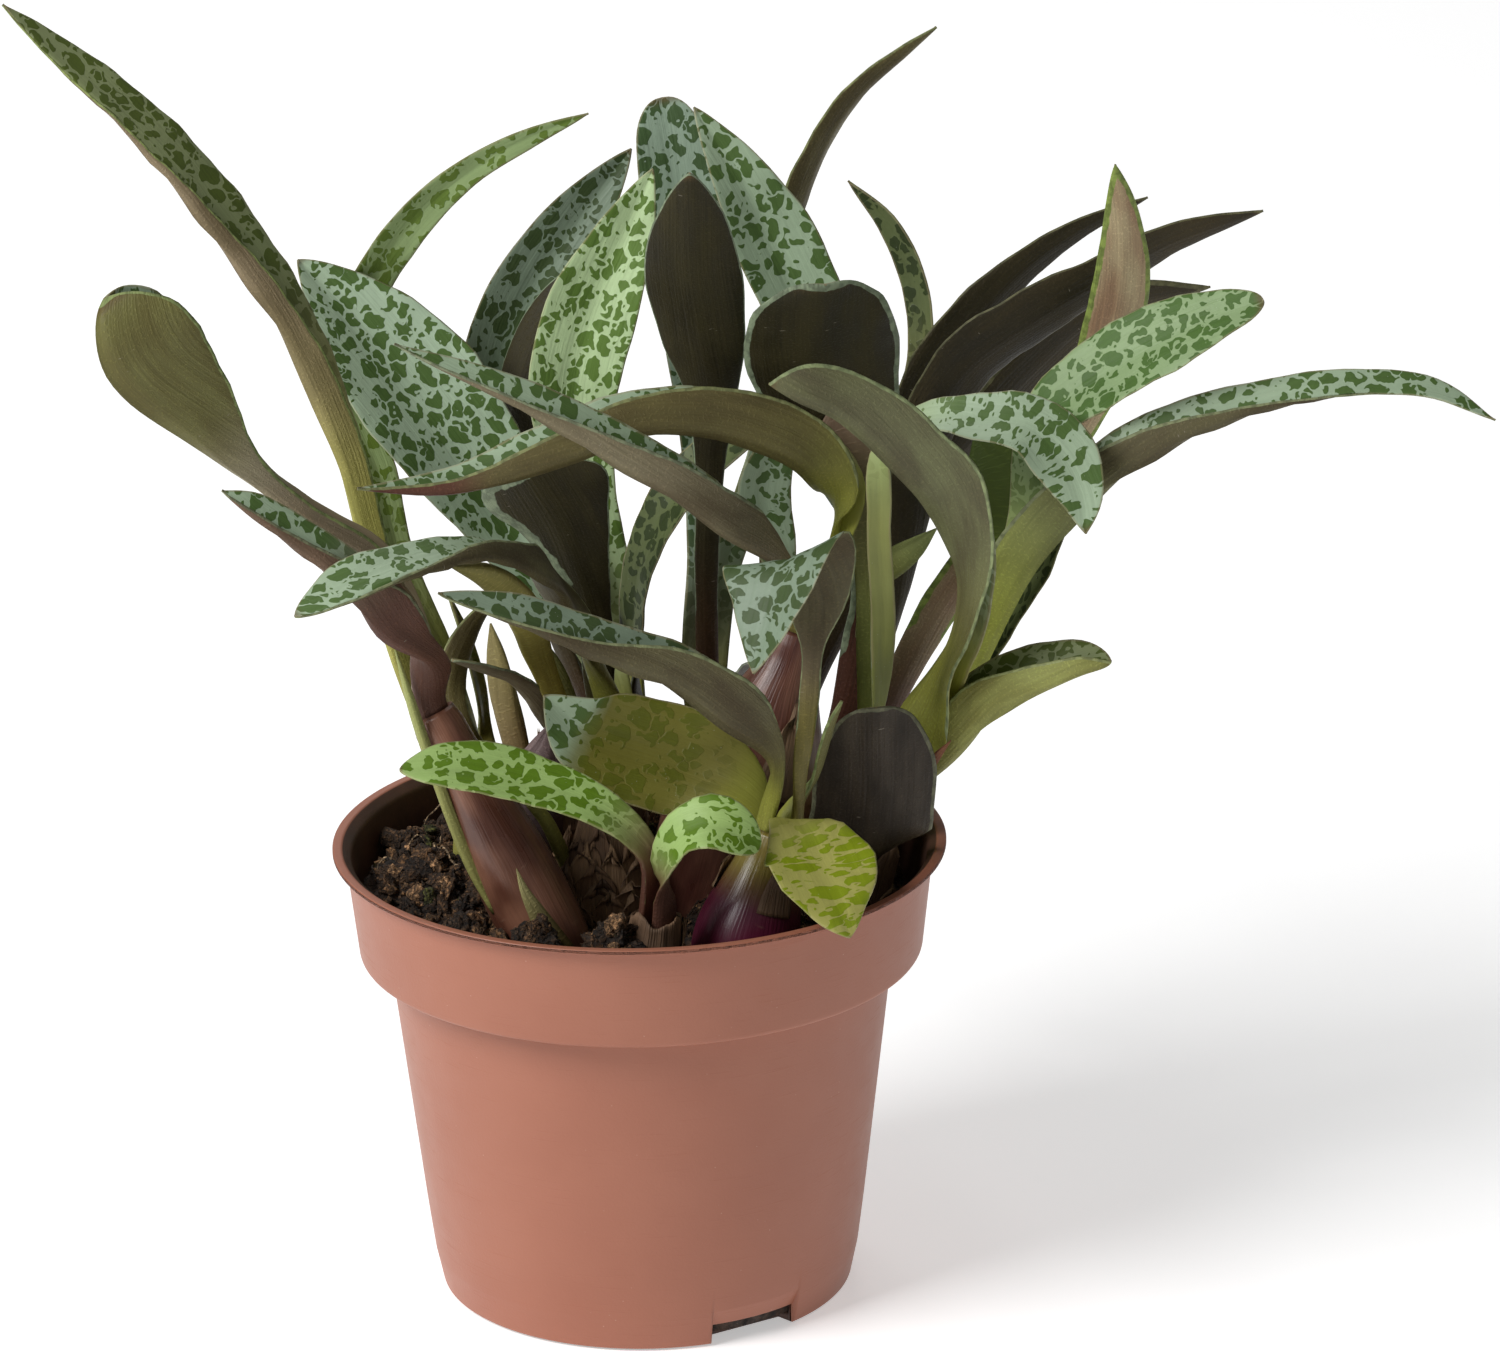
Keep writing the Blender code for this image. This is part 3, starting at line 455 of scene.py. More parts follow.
def tubes(path, radius, columns):
    """Round tubes of a radius at each point, carried along many paths at once."""
    along = np.gradient(path, axis=1)
    along /= np.linalg.norm(along, axis=-1, keepdims=True)
    across = np.cross(along, (0.13, 0.21, 0.97))
    across /= np.linalg.norm(across, axis=-1, keepdims=True)
    up = np.cross(along, across)
    turn = turns(columns)[:, None]
    ring = across[:, :, None] * np.cos(turn) + up[:, :, None] * np.sin(turn)
    return path[:, :, None] + ring * radius[..., None, None]


def add_roots(dice, skin):
    """Dead roots and peat fibres: thin tapered tubes that wander over the peat."""
    rows, columns = 14, 5
    length = dice.uniform(5.0, 24.0, (ROOTS, 1))
    heading = dice.uniform(0, 2 * math.pi, (ROOTS, 1)) + np.cumsum(
        dice.normal(0.0, 0.28, (ROOTS, rows)), axis=1)
    radius = ROOTED_R * np.sqrt(dice.uniform(0, 1, (ROOTS, 1)))
    angle = dice.uniform(0, 2 * math.pi, (ROOTS, 1))
    x = radius * np.cos(angle) + np.cumsum(np.cos(heading) * length / rows, axis=1)
    y = radius * np.sin(angle) + np.cumsum(np.sin(heading) * length / rows, axis=1)
    pull = np.minimum(1.0, LOOSE_R / np.hypot(x, y))
    x, y = x * pull, y * pull
    share = np.linspace(0.0, 1.0, rows)
    arch = dice.uniform(0.2, 2.6, (ROOTS, 1)) * np.sin(math.pi * share)
    path = np.stack([x, y, soil_height(x, y) + arch], axis=-1)
    thick = dice.uniform(0.12, 0.34, (ROOTS, 1)) * (1.05 - share) ** 0.5
    points = tubes(path, thick, columns)
    shades = tones(58, 42, 30, 96, 70, 48, 140, 108, 78, 178, 150, 116)
    body = shades[dice.choice(4, ROOTS, p=[0.35, 0.35, 0.2, 0.1])][:, None, None]
    make_closed("peat_roots", points, [skin],
                {"body": np.broadcast_to(body, points.shape)})


add_soil()
crumbs = crumb_skin()
soil_dice = np.random.default_rng(11)
add_lumps("peat_crumbs", soil_dice, crumbs,
          np.clip(soil_dice.lognormal(-0.3, 0.5, CRUMBS), 0.3, 2.2),
          LOOSE_R * np.sqrt(soil_dice.uniform(0.0, 1.0, CRUMBS)),
          soil_dice.uniform(0.0, 2 * math.pi, CRUMBS), 4, 8)
add_lumps("peat_clods", soil_dice, crumbs, soil_dice.uniform(0.9, 2.1, CLODS),
          soil_dice.uniform(28.0, 50.0, CLODS), soil_dice.uniform(2.3, 4.1, CLODS), *CLOD_GRID)
add_roots(soil_dice, crumbs)
# Two heaps of clods bank up against the foot of the left bulb.
spread = soil_dice.normal(0.0, HEAP_SPREAD, (HEAPED, 2))
east, north = (np.array(HEAPS)[soil_dice.integers(0, len(HEAPS), HEAPED)] + spread).T
heaped = HEAP_RISE * np.exp(-(spread ** 2).sum(axis=1) / HEAP_REACH ** 2)
add_lumps("peat_heaps", soil_dice, crumbs, soil_dice.uniform(0.9, 2.4, HEAPED),
          np.minimum(np.hypot(east, north), ROOTED_R), np.arctan2(north, east), *CLOD_GRID,
          heaped * soil_dice.uniform(0.0, 1.0, HEAPED))

# The bulbs: crowded bottles of fleshy scales that narrow into a neck. Three show a
# glossy purple-brown skin; the rest wear dry brown tunics with torn papery scales.
BULB_COLUMNS = 56
BULB_ROWS = 44
SOCKET_DEPTH = 7.0
SOCKET_PLAY = 0.5
SOCKET_WALL = 0.8
BASE_THICK = 1.4


def ring_radius(count):
    """Radius of the ring in which the leaf bases of one neck stand."""
    return 2.2 + 0.35 * count


def planted(foot, neck, leaves, belly=6.5, peak=0.42, scales=0, shine=False, warm=0.5,
            tint=0.0, tip=0.0):
    """A bulb from its foot to its neck, with its belly's radius and how far up that lies.

    Leaves and scales are counts. Without leaves the neck closes to the radius of its tip.
    """
    rim = ring_radius(leaves) + BASE_THICK / 2 + SOCKET_PLAY + SOCKET_WALL if leaves else tip
    return {"foot": np.array(foot, float), "neck": np.array(neck, float), "open": leaves > 0,
            "belly": belly, "scales": scales, "peak": peak, "shine": shine, "warm": warm,
            "tint": tint, "rim": rim}


BULBS = {
    "left": planted((-11, -26, 66), (-37.8, -17, 121), 2, 8.3, 0.36, shine=True, warm=0.0,
                    tint=0.05),
    "rear_left": planted((-22, 27, 61), (-29, 36, 87), 3, scales=10),
    "centre": planted((-6.7, 24, 61), (-5, 31, 87), 4, scales=12),
    "inner": planted((-6.5, 36.5, 61), (-3, 46, 87), 5, 6.4, scales=8),
    "tall": planted((4, 25.5, 61), (12, 34, 87), 3, scales=10),
    "rear": planted((15.6, 30.7, 61), (26, 42, 87), 4, scales=8),
    "main": planted((9, 3, 64), (31, 8, 128), 3, 14.2, 0.55, scales=4, shine=True, warm=0.0,
                    tint=0.15),
    "far": planted((28, 22.3, 61), (35, 31, 87), 4, scales=12),
    "side": planted((34.3, 11, 61), (43, 18, 87), 3, 6.2, scales=12),
    "right": planted((36.5, -1, 61), (46, 4, 87), 3, 6.2, scales=12),
    "corner": planted((36, -14, 58), (40.5, -13.5, 80), 1, 5.6, scales=10),
    "front": planted((16, -31, 66), (26, -26, 99), 5, 10.2, 0.45, scales=4, shine=True, warm=0.9,
                     tint=1.0),
    "tan": planted((0, -39, 64), (3.5, -41, 90), 2, 6.6, 0.5, scales=20, warm=0.15),
    "papery": planted((-15, 9, 64), (-16, 13, 108), 0, 8.0, 0.5, scales=24, warm=0.6, tip=2.5),
    "old": planted((-7, -6, 64), (-7, -4, 98), 0, 9.0, 0.5, scales=60, warm=0.4, tip=4.5)}


def unit(rows):
    """Directions of length one."""
    rows = np.asarray(rows, float)
    return rows / np.linalg.norm(rows, axis=-1, keepdims=True)


def bulb_radius(bulb, share):
    """Radius up the bulb: a parabola up to the belly, then a cosine in to the neck."""
    foot, belly, peak, neck = 0.55 * bulb["belly"], bulb["belly"], bulb["peak"], bulb["rim"]
    swell = belly - (belly - foot) * (1 - np.minimum(share / peak, 1.0)) ** 2
    swing = np.cos(math.pi / 2 * np.clip((share - peak) / (1 - peak), 0.0, 1.0))
    return np.where(share < peak, swell, neck + (belly - neck) * swing ** 1.6)


def bulb_frame(bulb):
    """Foot, length and the three axes of a bulb, the last from its foot to its neck."""
    foot, neck = bulb["foot"], bulb["neck"]
    up = unit(neck - foot)
    across = unit(np.cross((0.0, 1.0, 0.0), up))
    return foot, np.linalg.norm(neck - foot), np.array([across, np.cross(up, across), up])


def glossy_skin():
    """Purple-brown living skin: lengthwise nerves, green glints and a waxy sheen."""
    skin, root = new_skin("bulb_glossy")
    grain = grain_mm(root)
    clouds = grain.scaled(0.10, 0.05, 1.0).noise(1.0, 3.0).step(0.35, 0.65)
    nerves = grain.bent(0.08, 1.5).scaled(1.5, 0.03, 1.0).noise(1.0, 2.0)
    scuffs = grain.scaled(0.22, 0.5, 1.0).noise(1.0, 4.0).step(0.64, 0.74)
    colour = clouds.blend(tone(84, 51, 37), tone(132, 91, 70))
    colour = field(root, "tint").blend(colour, tone(96, 28, 54))
    colour = field(root, "warm").blend(colour, tone(128, 116, 46))
    colour = colour.shaded(0.82 + 0.36 * nerves)
    colour = (scuffs * 0.25).blend(colour, tone(150, 122, 100))
    roughness = 0.27 + 0.12 * clouds + 0.25 * scuffs
    return dress(skin, colour, roughness, nerves + 0.2 * scuffs, 0.00016, IOR=1.45,
                 Coat_Weight=0.3, Coat_Roughness=0.25)


def tunic_skin():
    """Dry brown tunic: close lengthwise fibres, pale worn ridges and dark stains."""
    skin, root = new_skin("bulb_tunic")
    grain = grain_mm(root)
    stains = grain.scaled(0.09, 0.05, 1.0).noise(1.0, 4.0).step(0.3, 0.7)
    fibres = grain.bent(0.15, 1.2).scaled(2.2, 0.06, 1.0).noise(1.0, 3.0)
    colour = stains.blend(tone(62, 43, 30), tone(122, 92, 66))
    colour = (field(root, "warm") * 0.7).blend(colour, tone(164, 132, 98))
    colour = colour.shaded(0.5 + 1.0 * fibres)
    return dress(skin, colour, 0.62 + 0.25 * stains, fibres + 0.4 * stains, 0.0004)


def add_bulb(name, bulb, skin, seed):
    """A bulb: its radius carried round the axis, dented by waves, with an open or closed neck.

    The neck ends in rings of a radius and a rise over it: torn on a dry tunic, a smooth
    sheath on a glossy bulb, or a cap; an open one goes down into the socket.
    """
    foot, length, axes = bulb_frame(bulb)
    share = np.linspace(0.0, 1.0, BULB_ROWS)
    turn = turns(BULB_COLUMNS)
    lobes = crossed_waves(3.0 * np.cos(turn)[None], 3.0 * np.sin(turn)[None]
                          + 4.0 * share[:, None], seed, 9.0, 3.0, 6)
    ridges = np.sin(turn * 19 + 3.0 * share[:, None] + seed) * np.sin(turn * 7 + seed)
    ridge = 0.05 if bulb["shine"] else 0.18
    radius = bulb_radius(bulb, share)[:, None] * (1 + 0.012 * lobes) + ridge * ridges
    height = np.broadcast_to((share * length)[:, None], radius.shape)
    rim, bore = radius[-1], radius[-1] - SOCKET_WALL
    torn = 1.3 + 0.9 * crossed_waves(3.0 * np.cos(turn), 3.0 * np.sin(turn), seed, 5.0, 2.0, 4)
    closing = [(rim - 0.15, 0.6 * torn), (0.5 * (rim + bore), torn), (bore, 0.4 * torn),
               (bore, -SOCKET_DEPTH)]
    if bulb["shine"]:
        closing = [(rim - 0.2, 1.0), (rim - 0.5, 2.2), (rim - (SOCKET_WALL - 0.1), 3.2),
                   (bore, -SOCKET_DEPTH)]
    if not bulb["open"]:
        closing = [(rim * 0.94, 0.3), (rim * 0.7, 0.6), (rim * 0.35, 0.8)]
    radius = np.concatenate([radius, [ring for ring, rise in closing]])
    height = np.concatenate([height, [length + rise + 0 * rim for ring, rise in closing]])
    points = foot + barrel(radius, turn, height) @ axes
    grain = np.stack([np.broadcast_to(turn * bulb["belly"], height.shape), height + 90.0 * seed],
                     axis=-1)
    warm = np.clip((height / length - 0.66) / 0.22, 0.0, 1.0)[..., None] * bulb["warm"]
    piece = make_closed(f"bulb_body_{name}", points[None], [skin],
                        {"grain": grain[None], "warm": warm[None],
                         "tint": np.full_like(warm, bulb["tint"])[None]})
    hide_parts(f"bulb_{name}")


def add_scales(name, bulb, skin, seed):
    """Torn tunic scales: thin closed petals wrapped on the bulb, lifting to ragged tips.

    Across and along a petal, azimuth is its middle plus across times a half-span that
    narrows to the tip; radius is the bulb's own plus a lift that grows with the square.
    """
    dice = np.random.default_rng(seed)
    foot, length, axes = bulb_frame(bulb)
    count, rows, columns = bulb["scales"], 14, 10
    ends = np.linspace(-1, 1, columns + 1)
    across = np.concatenate([np.linspace(1, -1, columns + 1), ends[1:-1]])
    face = np.concatenate([np.full(columns + 1, 1.0), np.full(columns - 1, -1.0)])
    along = np.linspace(0.0, 1.0, rows)[None, :, None]
    middle = (2.4 * np.arange(count) + dice.uniform(0, 0.5, count))[:, None, None]
    half = np.radians(dice.uniform(14, 34, count))[:, None, None]
    low = dice.uniform(0.2, 0.72, count)[:, None, None]
    high = low + dice.uniform(0.16, 0.34, count)[:, None, None]
    narrow = (1 - along ** 2.5) ** 0.6 + 0.04
    frayed = 0.10 * np.sin(across * 9 + middle * 7) * along ** 2
    share = low + (high - low) * (along * (1 - 0.2 * across ** 2) + frayed)
    lift = dice.uniform(0.2, 1.5, count)[:, None, None] * along ** 2
    curl = 0.5 * along * np.abs(across) ** 3
    thick = 0.16 * np.sqrt(1 - across ** 6)
    radius = bulb_radius(bulb, share) * (1 + 0 * across) + 0.3 + lift + curl + face * thick
    angle = middle + across * half * narrow
    grain = np.stack([angle * bulb["belly"], share * length + 70.0 * middle], axis=-1)
    warm = dice.uniform(0.0, 1.0, count)[:, None, None, None] * np.ones(share.shape + (1,))
    points = foot + barrel(radius, angle, share * length) @ axes
    make_closed(f"bulb_scales_{name}", points, [skin],
                {"grain": grain, "warm": warm})


glossy, tunic = glossy_skin(), tunic_skin()
for seed, (name, bulb) in enumerate(BULBS.items(), start=1):
    add_bulb(name, bulb, glossy if bulb["shine"] else tunic, seed)
    if bulb["scales"]:
        add_scales(name, bulb, tunic, seed + 40)

# The leaves: fleshy channelled blades, silvery and blotched above, dull olive to
# purple-brown beneath, each rising from its neck as a thick stem and drooping.
LEAF_FOOT_RISE = 0.5
LEAF_NECK_RISE = 3.0
BLADE_THICK = 0.8
TIP_THICK = 0.6
SECTOR_GAP = 4.0
WIDEST_SECTOR = 70.0
OPEN_BY = 0.38
LEAF_STEP = 2.2
ACROSS = 14
EYE = (22.0, 1500.0, 659.3)
GUTTER_ANGLE = 35.0
GUTTER_BEND = 0.6
CLOSE_UP = 9.0
RAGGED = 0.025
FRILL_RISE = 0.17
SWAY_RISE = 0.22
RIB_DEPTH = 0.34
FIRST_LEAF_SEED = 101
# What a leaf is unless its row says otherwise: the way its upper side looks (None for up and
# out), the exponent that rounds its tip, half the angle of its cross-section's arc and of its
# fold in degrees, the share of its length past which it no longer turns, and how far up it the
# stem's colours reach. Hem is how wide the upper side shows rolled over the left and the right
# margin, in millimetres, and from which share of the length. Gutter is the near flank's share
# of the far one on a channelled leaf, at the stem and at the tip, and lie is the side where
# the far margin lies. Finer is how much finer the blotches lie across and along, and frill,
# fade and ruddy are how strong the frill, the silver end and the red end are.
PLAIN_LEAF = {"face": None, "tip": 1.3, "cup": 24.0, "fold": 0.0, "hold": 1.0, "reach": 0.4,
              "hem": (0.35, 0.35, 0.25), "gutter": None, "lie": (0, 0, 1), "finer": (1.0, 1.0),
              "frill": 1.0, "fade": 0.0, "ruddy": 0.0}


def leaf(look, *rows, **traits):
    """One leaf: colours above, beneath and of its stem; rows of (across, up, behind, width)."""
    return {**PLAIN_LEAF, **traits, "look": look.split(), "rows": rows}


LEAVES = {
    "left": {
        "spoon": leaf("silver olive ash", (-42, 134, -16, 5), (-49, 150, -19, 5.5), (-64, 160, -24, 6),
            (-74, 169, -28, 7), (-83, 179.5, -33, 14), (-92, 190.5, -37, 20), (-96, 197, -39, 19),
            (-100, 203, -41, 0), face=(0.3, -0.6, 0.7), tip=2.2, cup=18, reach=0.75, gutter=(0.65, 0.95)),
        "hood": leaf("silver plum wine", (-40, 126, -23, 10.5), (-43, 132, -26, 13), (-48, 139, -29, 12.5),
            (-55, 147, -32, 8.5), (-66, 156, -34.5, 6.5), (-73, 161, -36.5, 5), (-79, 164, -37.5, 0),
            face=(0.25, -0.6, 0.7), cup=18, reach=0.7, gutter=(0.9, 0.25)),
    },
    "slender": {
        "tall": leaf("dusky pale lemon", (-35.5, 95, 12, 5), (-40, 109, 13, 5), (-47, 133, 15, 6),
            (-51, 153, 17, 7.5), (-56, 176, 20, 9.5), (-64, 197, 24, 12), (-77, 219, 29, 13.5),
            (-95, 241, 35, 11), (-107, 252, 38, 7), (-117, 261, 40, 0), face=(0.75, -0.4, 0.55), cup=38,
            reach=0.65, gutter=(0.8, 0.05), lie=(1, 0, 0)),
    },
    "rear_left": {
        "ribbon": leaf("lime mauve lime", (-32, 109, 37, 5.5), (-38, 131, 39, 6), (-45, 149, 42, 6.5),
            (-49, 167, 46, 8), (-54, 182, 50, 10.5), (-54, 196, 54, 10), (-49, 206, 57, 9),
            (-42, 216, 59, 8.5), (-30, 227, 62, 6), (-18, 233.5, 65, 4), (-7, 238, 68, 0),
            face=(0.5, -0.7, 0.3)),
        "sickle": leaf("olive khaki moss", (-33, 112, 31, 5), (-36, 122, 29, 6), (-33, 133, 27, 6),
            (-26, 143, 25, 0), cup=30),
        "thin": leaf("olive khaki moss", (-29, 110, 42, 4), (-30.5, 122, 42, 4.5), (-33, 133, 43, 3.5),
            (-36, 142, 44, 0), cup=30),
    },
    "centre": {
        "strap": leaf("silver mauve lime", (-2, 108, 22, 5.5), (-6.5, 122, 14, 6.5), (-13, 135, 6, 8),
            (-20, 146, -9, 9.5), (-30, 151, -21, 8.5), (-41, 149.5, -31, 9.5), (-55, 145, -40, 10.5),
            (-66, 138, -45, 0), face=(0.1, -0.25, 1.0), tip=1.7, reach=0.5, gutter=(1.5, 0.05)),
        "broad": leaf("frost khaki lime", (-3.5, 120, 33, 7), (-10, 136, 36, 11), (-24, 155, 40, 19),
            (-35, 173, 43, 27), (-44, 186, 46, 29), (-53, 198, 50, 20), (-63, 210, 54, 0),
            face=(0.35, -0.8, 0.45), cup=14, fold=10),
        "fan": leaf("silver umber moss", (-7.5, 124, 24, 6.5), (-7.6, 133, 21, 7.5), (-9, 141, 18, 9),
            (-11.5, 149, 15, 14.5), (-14.5, 156.5, 12.5, 21), (-18, 163, 10.5, 28), (-20.5, 167.5, 9, 0),
            face=(0.25, 0.95, 0.25), tip=2.6, cup=20, hem=(3.6, 0.3, 0.6)),
        "tongue": leaf("olive dove moss", (-14.5, 110, 31, 5), (-19, 118.5, 19, 7), (-24, 124, 7, 8.5),
            (-31, 127, -3, 7.5), (-35.5, 128.5, -7, 0), tip=2.2, cup=30),
    },
    "inner": {
        "bright": leaf("bright mauve lime", (1, 120, 48, 5.5), (-3, 142, 48, 7), (-9, 163, 46, 12),
            (-11.5, 181, 46, 18), (-8, 197, 48, 19), (-1, 213, 51, 13), (5, 227, 54, 0),
            face=(0.15, -0.9, 0.4), cup=16, fold=6),
        "blue": leaf("steel umber brown", (-8, 120, 54, 5.5), (-18, 148, 58, 8), (-25, 172, 61, 14),
            (-24, 190, 64, 18), (-17, 206, 67, 17), (-8, 219, 70, 12), (1, 231, 73, 0),
            face=(0.2, -0.9, 0.4), cup=18, fold=8),
        "shade": leaf("silver umber brown", (-12, 124, 48, 5), (-19, 148, 51, 7), (-23, 172, 53, 10),
            (-20, 188, 55, 11), (-15, 199, 57, 9), (-9, 209, 59, 0), face=(0.4, 0.7, 0.2)),
        "under": leaf("deep umber brown", (0, 122, 39, 5.5), (0, 140, 37, 8), (4, 154, 33.5, 11),
            (13, 167, 32, 11), (23, 175, 31, 9), (31, 181, 31, 0), face=(-0.5, -0.6, 0.6), reach=0.3),
        "rear_arch": leaf("silver umber brown", (-3, 121, 59, 6), (-11, 137, 68, 8), (-20, 152, 80, 13),
            (-25, 163, 92, 13), (-30, 168, 106, 0), cup=20),
    },
    "tall": {
        "dark": leaf("silver umber purple", (14, 122, 33, 5), (14, 148, 28, 5), (15, 168, 22, 6.5),
            (15.5, 181, 17, 10.5), (13.5, 195, 11, 18), (12, 208, 5, 19), (12, 218, 1, 12),
            (12, 226, -3, 0), tip=1.4, cup=26),
        "round_top": leaf("blue umber moss", (10, 124, 46, 5.5), (13, 150, 52, 6), (13.5, 178, 59, 10),
            (12.5, 200, 66, 15), (10, 220, 71, 15.5), (8, 235, 75, 13), (7, 241, 77, 0),
            face=(0.05, -0.9, 0.3), tip=2.6, cup=14),
        "leaning": leaf("silver umber moss", (15.5, 124, 39, 5.5), (18, 148, 44, 6), (27, 172, 50, 10),
            (34, 194, 55, 17), (28, 211, 59, 18), (20, 227, 62, 11), (13, 239, 65, 0),
            face=(0.25, -0.9, 0.3), cup=14, fold=10, finer=(0.85, 0.9)),
    },
    "rear": {
        "spear": leaf("silver khaki purple", (26, 124, 50, 5), (27, 152, 60, 6), (28, 182, 69, 8),
            (31, 214, 76, 9.5), (37, 230, 79, 9), (45, 242, 82, 7), (53, 249, 85, 4), (59, 254, 87, 0),
            face=(-0.7, 0.6, 0.3), cup=40),
        "edge": leaf("deep khaki lime", (30, 124, 51, 5), (42, 150, 53, 6), (52, 172, 56, 6.5),
            (56, 190, 59, 6.5), (55, 203, 62, 6.5), (50, 215, 65, 5), (42, 224, 68, 0),
            face=(-0.5, -0.7, 0.2), cup=30, reach=0.8),
        "far_dark": leaf("silver night brown", (33, 119, 41, 5), (48, 148, 48, 6.5), (64, 171, 54, 9.5),
            (78, 187, 58, 12), (91, 198, 62, 10), (111, 202, 66, 0), face=(-0.3, 0.9, 0.3),
            hem=(1.0, 1.0, 0.25)),
        "rear_droop": leaf("silver umber brown", (27, 119, 56, 6), (27, 126, 66, 10), (26, 125, 80, 16),
            (25, 117, 95, 13), (24, 106, 108, 0), cup=18),
    },
    "main": {
        "arch": leaf("silver dove fawn", (30, 141, 3, 8), (26, 149, -3, 9.5), (18, 157, -10, 9.5),
            (8, 165, -16, 9.5), (-6, 174, -21, 8.5), (-22, 183, -25, 6), (-45, 193, -29, 0),
            face=(-0.1, -0.62, 0.75), cup=18, reach=0.3, gutter=(0.88, 0.2)),
        "long_arch": leaf("silver khaki lime", (36, 138, 12, 6.5), (39.5, 149, 14, 6.5),
            (41.5, 160, 13, 8.5), (37, 168, 9, 10), (28, 174, 5, 11), (13, 178, 0, 11), (-2, 177, -5, 11),
            (-14, 172.5, -8, 10), (-35, 165, -12, 6), (-53, 164, -16, 0), face=(-0.1, -0.62, 0.75), cup=18,
            reach=0.5, gutter=(1.0, 0.5), ruddy=0.85),
        "wilted": leaf("silver mauve brown", (29, 143, 12, 5), (27, 152, 14, 9), (25, 161, 15, 11),
            (27, 169, 15, 9), (31, 176, 15, 0), face=(0.2, -0.8, 0.3)),
    },
    "far": {
        "paddle": leaf("silver umber purple", (39, 114, 27, 6), (43, 130, 27, 6.5), (45, 146, 26, 6.5),
            (44, 157, 24, 9), (41.5, 166, 21, 16), (39, 178, 16, 27), (37, 189.5, 10, 30.5),
            (36.7, 198, 5, 26), (37.5, 203.5, 2, 0), tip=2.6, cup=22, reach=0.62, hem=(1.3, 1.3, 0.25),
            frill=2.0),
        "rear_right": leaf("silver night brown", (41, 118, 38, 5), (46, 136, 41, 6), (49, 155, 43, 8),
            (54, 174, 45, 13), (62, 190, 47, 14), (72, 203, 48, 9.5), (85, 213, 50, 5.5), (99, 220, 52, 0),
            face=(-0.4, 0.9, 0.2), cup=22),
        "long_dark": leaf("silver night brown", (45, 117, 33, 5), (50, 135, 33, 6), (53, 152, 34, 8),
            (56, 170, 35, 12), (64, 186, 36, 15), (77, 196, 37, 14), (91, 204, 38, 11), (103, 211, 39, 8),
            (121, 217, 40, 0), face=(-0.3, 0.9, 0.3), cup=22),
        "upright": leaf("lime rust purple", (45, 109, 26, 6.5), (52, 124, 28, 8), (60, 139, 30, 9),
            (72, 156, 31, 9.5), (84, 172, 30, 10), (92, 191, 27, 12.5), (94.3, 203, 25, 11.8),
            (94.2, 216, 23, 7.5), (92.8, 226.5, 21, 0), face=(-0.2, 0.95, 0.2), cup=20,
            hem=(1.2, 1.2, 0.25)),
    },
    "side": {
        "spotted": leaf("open khaki pea", (52, 106, 17, 5), (61, 123, 14, 5.5), (71, 141, 10, 6),
            (76, 158, 6, 8), (81, 177, 3, 13.5), (91.5, 185.5, 1, 17), (104.5, 192.5, -1, 16.5),
            (114, 196.5, -2, 11), (121.3, 199, -3, 0), face=(-0.2, -0.6, 0.75), tip=2.1, cup=14,
            reach=0.65),
        "crest": leaf("silver umber dusk", (46, 114, 11, 5), (48, 134, 8, 5), (47.5, 156, 5, 5),
            (49, 171, 2, 6), (57, 176.5, -3, 8.5), (67, 176, -8, 12), (76, 174.5, -11, 15),
            (83, 167.5, -14, 14), (86.5, 159.5, -17, 8.5), (87.3, 152.5, -19, 0), face=(-0.1, -0.5, 0.85),
            tip=1.2, cup=20, reach=0.75, finer=(0.75, 1.3), frill=1.5),
        "shaded": leaf("deep umber moss", (52, 106, 26, 6), (63, 122, 22, 8), (72, 138, 20, 12),
            (79, 153, 18, 15), (83, 166, 17, 11), (84, 178, 17, 0), face=(-0.6, -0.6, 0.4)),
    },
    "right": {
        "whip": leaf("silver mauve pea", (55, 109, 8, 5.5), (63, 122, 4, 6), (70.5, 138, 0, 7),
            (76, 149.5, -3, 8.5), (82, 157.5, -4, 9.5), (97, 170.5, -5, 9.5), (124, 180.5, -4, 6.5),
            (140, 182.5, -3, 5.5), (154, 181, -2, 4.5), (166, 174.5, -1, 0), face=(-0.15, -0.62, 0.75),
            cup=18, reach=0.6, gutter=(1.2, 0.0)),
        "hook": leaf("silver sage lime", (51, 110, -4, 8), (60.3, 122.5, -8, 8.5), (65.3, 135, -12, 9),
            (66, 144, -15, 10), (64.5, 152, -18, 11), (60.5, 161, -21, 11.5), (54.5, 168.5, -24, 11.5),
            (47, 176, -27, 10.5), (40, 180.5, -29, 9), (32, 183, -31, 6.5), (26.5, 184, -32, 0),
            face=(-0.3, -0.6, 0.7), cup=18, reach=0.6, gutter=(1.5, 1.1)),
        "low": leaf("dusky fair lime", (55, 102, -4, 6.5), (61, 111, -8, 9), (67, 119, -11, 12),
            (73.5, 123, -14, 11.5), (80.5, 125.5, -16, 10), (87, 127, -17.5, 7.5), (92.3, 126.5, -18.5, 0),
            face=(-0.2, -0.6, 0.75), tip=1.8, cup=18, reach=0.5, gutter=(0.9, 0.5)),
    },
    "corner": {
        "shield": leaf("silver slate brown", (43.5, 81, -14, 21), (45, 89, -15.5, 25), (46, 97, -17, 24.5),
            (46.5, 106, -19, 23), (46.5, 112, -21, 18.5), (46.5, 117.5, -23, 0), face=(-0.1, 0.95, 0.1),
            tip=2.6, cup=18, hem=(0.9, 0.9, 0.25)),
    },
    "front": {
        "stalked": leaf("steel mauve fawn", (32, 106, -27, 4.2), (33.5, 119.5, -25, 4),
            (34.3, 131.5, -23, 5.5), (34.5, 140, -22, 14), (32, 147, -24, 24), (29, 148, -30, 26),
